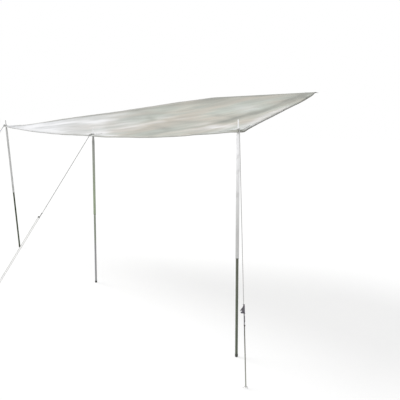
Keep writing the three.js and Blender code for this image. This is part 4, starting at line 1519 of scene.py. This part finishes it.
def foot_profile(length):
    bore, groove = LEG_RADIUS + FIT, FOOT_RADIUS - RIB_DEPTH
    ribs = []
    for k in range(3):
        low = -length + FOOT_SOLE + RIB_START + RIB_PITCH * k
        ribs += [(FOOT_RADIUS, low), (groove, low + RIB_EASE),
                 (groove, low + RIB_WIDTH - RIB_EASE), (FOOT_RADIUS, low + RIB_WIDTH)]
    return [(0, -length), (FOOT_RADIUS * 0.85, -length), (FOOT_RADIUS, -length + FOOT_SOLE / 2),
            *ribs, (FOOT_RADIUS, -length + FOOT_HEIGHT), (bore, -length + FOOT_HEIGHT),
            (bore, -length + FOOT_SOLE), (0, -length + FOOT_SOLE)]


def ring_profile(inner, outer, low, high):
    return [(inner, low), (outer, low), (outer, high), (inner, high)]


# Operators

class AWNING_OT_stage(bpy.types.Operator):
    """Make the camera, the floor, the light and the pale surroundings"""

    bl_idname = "awning.stage"
    bl_label = "Stage"

    def execute(self, context):
        settings = context.scene.awning_stage
        self.make_camera(context)
        self.make_floor(settings)
        self.make_lamp(settings)
        self.make_world(context, settings)
        context.scene.view_settings.view_transform = "Standard"
        return {"FINISHED"}

    @staticmethod
    def make_camera(context):
        data = bpy.data.cameras.new("Camera")
        data.lens, data.sensor_width, data.sensor_fit = CAMERA_LENS, CAMERA_SENSOR, "HORIZONTAL"
        camera = linked("Camera", data)
        camera.location = CAMERA_PLACE
        level = math.cos(CAMERA_TILT)
        aim(camera, (math.sin(CAMERA_HEADING) * level, math.cos(CAMERA_HEADING) * level,
                     math.sin(CAMERA_TILT)))
        context.scene.camera = camera

    @staticmethod
    def make_floor(settings):
        shape = bmesh.new()
        bmesh.ops.create_grid(shape, x_segments=1, y_segments=1, size=FLOOR_SIZE)
        moved(shape, 0, 0, -SEAM_HEIGHT - FLOOR_GAP)
        floor = linked("Floor", as_mesh(shape, "Floor"))
        floor.data.materials.append(floor_material(settings))

    @staticmethod
    def make_lamp(settings):
        data = bpy.data.lights.new("Key", "SUN")
        data.energy, data.angle = settings.key, SUN_SPREAD
        aim(linked("Key", data), SUN_WAY)

    @staticmethod
    def make_world(context, settings):
        world = bpy.data.worlds.new("Surroundings")
        world.use_nodes = True
        tree = world.node_tree
        background = tree.nodes["Background"]
        background.inputs["Color"].default_value = (1, 1, 1, 1)
        strength = scaled_range(tree, seen_directly(tree), 0, 1, settings.sky, 1.0)
        tree.links.new(strength, background.inputs["Strength"])
        context.scene.world = world


def aim(thing, way):
    """Turns a camera or a lamp so that it looks along a direction."""
    thing.rotation_mode = "QUATERNION"
    thing.rotation_quaternion = Vector(way).to_track_quat("-Z", "Y")


def seen_directly(tree):
    """1 for rays from the camera, in a mirror or through glass."""
    rays = tree.nodes.new("ShaderNodeLightPath")
    glossy = math_node(
        tree, "MAXIMUM", rays.outputs["Is Glossy Ray"], rays.outputs["Is Transmission Ray"])
    return math_node(tree, "MAXIMUM", rays.outputs["Is Camera Ray"], glossy)


def floor_material(settings):
    """A pale floor that stays near white to the eye and keeps the object's shadow."""
    material, tree, shader = new_material("Pale floor", settings.floor, 0.9)
    shader.inputs["Specular IOR Level"].default_value = 0.1
    output = next(node for node in tree.nodes if node.type == "OUTPUT_MATERIAL")
    glow = tree.nodes.new("ShaderNodeEmission")
    glow.inputs["Strength"].default_value = FLOOR_GLOW
    blend = tree.nodes.new("ShaderNodeMixShader")
    tree.links.new(math_node(tree, "MULTIPLY", seen_directly(tree), GLOW_SHARE), blend.inputs[0])
    tree.links.new(shader.outputs[0], blend.inputs[1])
    tree.links.new(glow.outputs[0], blend.inputs[2])
    tree.links.new(blend.outputs[0], output.inputs["Surface"])
    return material


class AWNING_OT_guys(bpy.types.Operator):
    """Make the guy ropes, their tails, runners, knots, spring and pegs"""

    bl_idname = "awning.guys"
    bl_label = "Guy ropes"

    def execute(self, context):
        for name in POLES:
            line = guy_lines(name)
            self.make_strand(name, line)
            knot = self.make_runner(name, line)
            self.make_tail(name, line, knot)
            finish_mesh(f"{name}_wire_peg", swept(peg_path(line), PEG_RADIUS, 20), "peg",
                        "awning", [f"{name}_peg"])
        return {"FINISHED"}

    @staticmethod
    def make_strand(name, line):
        path = strand_path(line)
        look = {"near": "rope", "middle": "dusty rope", "far": "far rope"}[name]
        rope = finish_mesh(f"{name}_guy_line", swept(path, ROPE_RADIUS), look, "awning",
                           [f"{name}_guy_rope", f"{name}_rope_eye"], ROPE_CREASE)
        tie = finish_mesh(f"{name}_loop_knot", eye_knot(line),
                          "pale rope" if name == "middle" else look, "awning", (),
                          ROPE_CREASE)

    @staticmethod
    def make_runner(name, line):
        """The runner and what hangs on it; gives the tail's knot."""
        body = f"{name}_adjuster"
        sprung = name == "near"
        place = runner_matrix(line, RUNNERS[name])
        finish_mesh(f"{name}_rope_runner", placed(runner_shape(sprung), place),
                    "runner" if sprung else "dark runner", body, [f"{name}_runner"])
        wound = moved(knot_shape(), 0, STRAND_GAP, knot_foot(name))
        knot = finish_mesh(f"{name}_stopper_knot", placed(wound, place), "soiled rope", body,
                           [f"{name}_tail_knot"], ROPE_CREASE)
        if sprung:
            rise = -RUNNER_HEIGHT / 2 - FIT - SPRING_BODY - SPRING_END
            spring = moved(swept(spring_path(), SPRING_WIRE, 8), 0, STRAND_GAP, rise)
            finish_mesh(f"{name}_trace_spring", placed(spring, place), "runner", body,
                        [f"{name}_guy_spring"], ROPE_CREASE)
        return knot

    @staticmethod
    def make_tail(name, line, knot):
        path = tail_path(line, TURN_LIFT + RUNNERS[name] + knot_foot(name))
        look = {"near": "soiled and shaded rope", "middle": "pale rope", "far": "far rope"}[name]
        tail = finish_mesh(f"{name}_guy_return", swept(path, ROPE_RADIUS), look, None,
                           [f"{name}_guy_tail"], ROPE_CREASE)
        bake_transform(tail, "awning", f"{name}_adjuster", start=path[-STRETCH_STEPS], end=path[-2])


class AWNING_OT_canopy(bpy.types.Operator):
    """Make the canvas with its folds and its hanging hem"""

    bl_idname = "awning.canopy"
    bl_label = "Canvas"

    def execute(self, context):
        settings = context.scene.awning_canopy
        step = CANVAS_STEP
        shape = canvas_grid(column_lines(step), row_lines(step), 0.0, settings)
        area = sum(face.calc_area() for face in shape.faces)
        thickened(shape, settings.thickness)
        canopy = holed(finish_mesh(
            "canvas_canopy", shape, "canvas", "awning", ["canopy_sheet"], CLOTH_CREASE))
        return {"FINISHED"}


class AWNING_OT_edges(bpy.types.Operator):
    """Make the webbing round the edges and the patches over the corners"""

    bl_idname = "awning.edges"
    bl_label = "Webbing and patches"

    def execute(self, context):
        settings = context.scene.awning_canopy
        columns, rows = column_lines(EDGE_STEP), row_lines(EDGE_STEP)
        side = [depth for depth in rows if REST_DEPTH <= depth < EYELET_DEPTH]
        side.append(EYELET_DEPTH - FIT)
        outer = [depth for depth in rows if depth >= EYELET_DEPTH]
        rim = [depth for depth in rows if depth > OUTER_DEPTH - RIM_REACH]
        near = [(share, shift) for share, shift in columns if share == 1 and shift > -WEBBING_REACH]
        far = [(share, shift) for share, shift in columns if share == 0 and shift < WEBBING_REACH]
        lap = [(0.0, shift) for shift in even(0.0, FAR_LAP, PATCH_STEP)]
        lip = [(share, shift) for share, shift in near if shift > -RIM_REACH]
        self.bind("outer", (columns, outer), (columns, rim), settings)
        self.bind("near", (near, side), (lip, side + outer), settings)
        self.bind("far", (far, side), (lap, side + outer), settings)
        self.make_patches(settings)
        return {"FINISHED"}

    @staticmethod
    def bind(name, under, over, settings):
        """Webbing folded round an edge: a wide strip under it and a narrower one over it."""
        low = thickened(canvas_grid(*under, WEBBING_LOW + MM, settings), UNDER_THICK)
        high = thickened(canvas_grid(*over, OVER_RISES[name], settings), OVER_THICK)
        strip = finish_mesh(f"{name}_edge_binding", merged(low, high),
                            "webbing" if name == "near" else "outer webbing", "awning",
                            [f"{name}_edge_webbing"], CLOTH_CREASE)
        if name == "outer":
            holed(strip)

    @staticmethod
    def make_patches(settings):
        """A patch over each corner and one at the middle pole, from (x, y) points."""
        reach, over = PATCH_REACH, FLAT_HALF - MM
        outlines = {
            "near": ("near_corner", ((over, -over), (over - PATCH_SLANT, reach), (-reach, -over))),
            "middle": ("middle", ((reach / 2, -over), (reach / 4, reach / 2),
                                  (-reach / 4, reach / 2), (-reach / 2, -over))),
            "far": ("far_corner", ((-over, -over), (reach, -over), (reach, reach),
                                   (-over, reach / 4))),
        }
        for name, (patch, outline) in outlines.items():
            holed(patch_piece(patch, EYELETS[name], outline, settings))


def patch_piece(name, eye, outline, settings):
    """A stitched patch: the canvas's own surface, cut to an outline round an eyelet."""
    rows = [depth for depth in row_lines(PATCH_STEP) if depth > -eye.y - PATCH_ROOM]
    shape = canvas_grid(fine_columns(eye), rows, PATCH_TOP - PATCH_THICK / 2, settings)
    run, away = (shape.verts.layers.float[key] for key in ("edge_run", "edge_away"))
    corners = [Vector((x, y, 0)) for x, y in outline]
    middle = sum(corners, Vector()) / len(corners)
    sides = [(start, (end - start).normalized())
             for start, end in zip(corners, corners[1:] + corners[:1])]
    for start, along in sides:
        normal = along.cross(UP)
        if normal.dot(start - middle) < 0:
            normal.negate()
        bmesh.ops.bisect_plane(
            shape, geom=shape.verts[:] + shape.edges[:] + shape.faces[:], dist=1e-6,
            plane_co=eye + start, plane_no=normal, clear_outer=True)
    for vert in shape.verts:
        gaps = [(vert[away], vert[run])]
        for start, along in sides:
            offset = vert.co - eye - start
            gaps.append((abs(along.x * offset.y - along.y * offset.x), along.dot(offset)))
        vert[away], vert[run] = min(gaps)
    return finish_mesh(f"{name}_reinforcement", thickened(shape, PATCH_THICK), "canvas", "awning",
                       [f"{name}_patch"], CLOTH_CREASE)


def fine_columns(eye):
    """Columns close together round one eyelet."""
    share, reach = cross_share(eye.x, PROJECTION), PATCH_ROOM / OUTER_WIDTH
    low, high = limit(share - reach), limit(share + reach)
    inner = [(value, 0.0) for value in even(low, high, SEAM_STEP / OUTER_WIDTH)]
    if high < 1:
        return inner + [(high, 0.0)]
    room = LIP_ROOM / OUTER_WIDTH
    return [column for column in inner if column[0] < 1 - room] + lip_columns()


class AWNING_OT_eyelets(bpy.types.Operator):
    """Make the brass eyelets with their rolled rims"""

    bl_idname = "awning.eyelets"
    bl_label = "Eyelets"

    def execute(self, context):
        bore, flange, thick = EYELET_BORE, EYELET_FLANGE, EYELET_THICK
        low, high = FLANGE_LOW + thick, FLANGE_TOP - thick
        profile = [
            (bore, FLANGE_LOW), (flange, FLANGE_LOW), (flange, low), (EYELET_BARREL, low),
            (EYELET_BARREL, high), (flange, high), (flange, FLANGE_TOP - thick * 0.35),
            (flange * 0.9, FLANGE_TOP), (bore * 1.25, FLANGE_TOP), (bore, FLANGE_TOP - thick * 0.4)]
        for name in POLES:
            finish_mesh(f"{name}_pole_eyelet", moved(turned(profile, 48, ROUND), *EYELETS[name]),
                        "brass", "awning", [f"{name}_eyelet"])
        return {"FINISHED"}


class AWNING_OT_zip(bpy.types.Operator):
    """Make the zip: its tapes' finish, two rows of teeth, the slider and its pull"""

    bl_idname = "awning.zip"
    bl_label = "Zip"

    def execute(self, context):
        for side in ("mounting", "canopy"):
            self.make_teeth(side)
        for node in ("mounting_tape", "canopy_zip_tape"):
            dress(node, "tape")
        for node in ("zip_slider", "zip_pull"):
            dress(node, "zip metal")
        return {"FINISHED"}

    @staticmethod
    def make_teeth(side):
        """A row of moulded teeth on the tape's edge."""
        node = f"{side}_zip_teeth"
        low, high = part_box(node)
        tooth = bmesh.new()
        bmesh.ops.create_cube(tooth, size=1.0, matrix=Matrix.Diagonal(
            (TOOTH_PITCH * TOOTH_SHARE, high.y - low.y, high.z - low.z, 1)))
        soften(tooth, FULL_ROUND, 1)
        mesh = as_mesh(tooth, "tooth")
        shape = bmesh.new()
        place = (low + high) / 2
        place.x = low.x + TOOTH_PITCH * FIRST_TOOTH_SHARES[side]
        for _ in range(int((high.x - low.x) / TOOTH_PITCH)):
            known = set(shape.verts)
            shape.from_mesh(mesh)
            fresh = [vert for vert in shape.verts if vert not in known]
            bmesh.ops.translate(shape, vec=place, verts=fresh)
            place.x += TOOTH_PITCH
        bpy.data.meshes.remove(mesh)
        finish_mesh(f"{side}_teeth_row", shape, "teeth", "awning", [node])


def dress(node, look):
    """Gives a carried-over solid its finish."""
    mesh = frame["nodes"][node].data
    mesh.materials.clear()
    mesh.materials.append(finish(look))


class AWNING_OT_poles(bpy.types.Operator):
    """Make the telescopic poles: spike, plug, tubes, bush, leg and foot cap"""

    bl_idname = "awning.poles"
    bl_label = "Poles"

    def execute(self, context):
        for name in POLES:
            self.make_pole(name)
        return {"FINISHED"}

    @staticmethod
    def make_pole(name):
        place, _ = pole_matrix(name)
        length = pole_length(name)
        low = JOINT_HEIGHT - length
        pole, leg = f"{name}_pole", f"{name}_leg"
        steel = {"near": "steel", "middle": "dull steel", "far": "grey steel"}[name]
        head = "dull steel" if name == "far" else "steel"
        paint = {"near": "leg", "middle": "pale leg", "far": "dark leg"}[name]
        upper = ring_profile(TUBE_BORE, TUBE_RADIUS, low, -TAPER_LENGTH - FIT)
        lower = ring_profile(LEG_BORE, LEG_RADIUS, -length + FOOT_SOLE + FIT, -length + LEG_TOP)
        pieces = (
            ("spike_pin", spike_profile(), 0, head, pole, "spike", "pole_steel"),
            ("tapered_plug", plug_profile(), ROUND, steel, pole, "top_plug", "pole_steel"),
            ("upper_pole", upper, SLIGHT_ROUND, steel, pole, "upper_tube", "pole_steel"),
            ("mouth_bush", bush_profile(low), ROUND, "nylon", pole, "tube_bush", "nylon"),
            ("lower_pole", lower, SLIGHT_ROUND, paint, leg, "leg_tube", "leg_paint"),
            ("rubber_foot", foot_profile(length), SLIGHT_ROUND, "rubber", leg, "foot_cap",
             "rubber"),
        )
        for piece, profile, rounding, look, body, node, slot in pieces:
            finish_mesh(f"{name}_{piece}", placed(turned(profile, 40, rounding), place), look,
                        body, [f"{name}_{node}"])
        dress(f"{name}_lock_core", "nylon")
        dress(f"{name}_lock_ring", "rubber")


class AWNING_PT_panel(bpy.types.Panel):
    """Lists the awning's steps and settings"""

    bl_idname = "AWNING_PT_panel"
    bl_label = "Kitchen Awning"
    bl_space_type = "VIEW_3D"
    bl_region_type = "UI"
    bl_category = "Awning"

    def draw(self, context):
        column = self.layout.column()
        for operator in STEPS:
            column.operator(operator.bl_idname)
        for group in ("awning_canopy", "awning_ropes", "awning_poles", "awning_stage"):
            settings = getattr(context.scene, group)
            for name in settings.bl_rna.properties.keys():
                if name not in ("rna_type", "name"):
                    column.prop(settings, name)


SETTINGS = {
    "awning_canopy": CanopySettings, "awning_ropes": RopeSettings,
    "awning_poles": PoleSettings, "awning_stage": StageSettings,
}
STEPS = (
    AWNING_OT_stage, AWNING_OT_guys, AWNING_OT_eyelets, AWNING_OT_canopy, AWNING_OT_edges,
    AWNING_OT_zip, AWNING_OT_poles,
)


def register():
    for kind in (*SETTINGS.values(), *STEPS, AWNING_PT_panel):
        bpy.utils.register_class(kind)
    for name, kind in SETTINGS.items():
        setattr(bpy.types.Scene, name, bpy.props.PointerProperty(type=kind))


def unregister():
    for name in SETTINGS:
        delattr(bpy.types.Scene, name)
    for kind in reversed((*SETTINGS.values(), *STEPS, AWNING_PT_panel)):
        bpy.utils.unregister_class(kind)


def main():
    register()
    bpy.ops.awning.stage()
    bpy.ops.awning.guys()
    bpy.ops.awning.eyelets()
    bpy.ops.awning.canopy()
    bpy.ops.awning.edges()
    bpy.ops.awning.zip()
    bpy.ops.awning.poles()


if __name__ == "__main__":
    main()
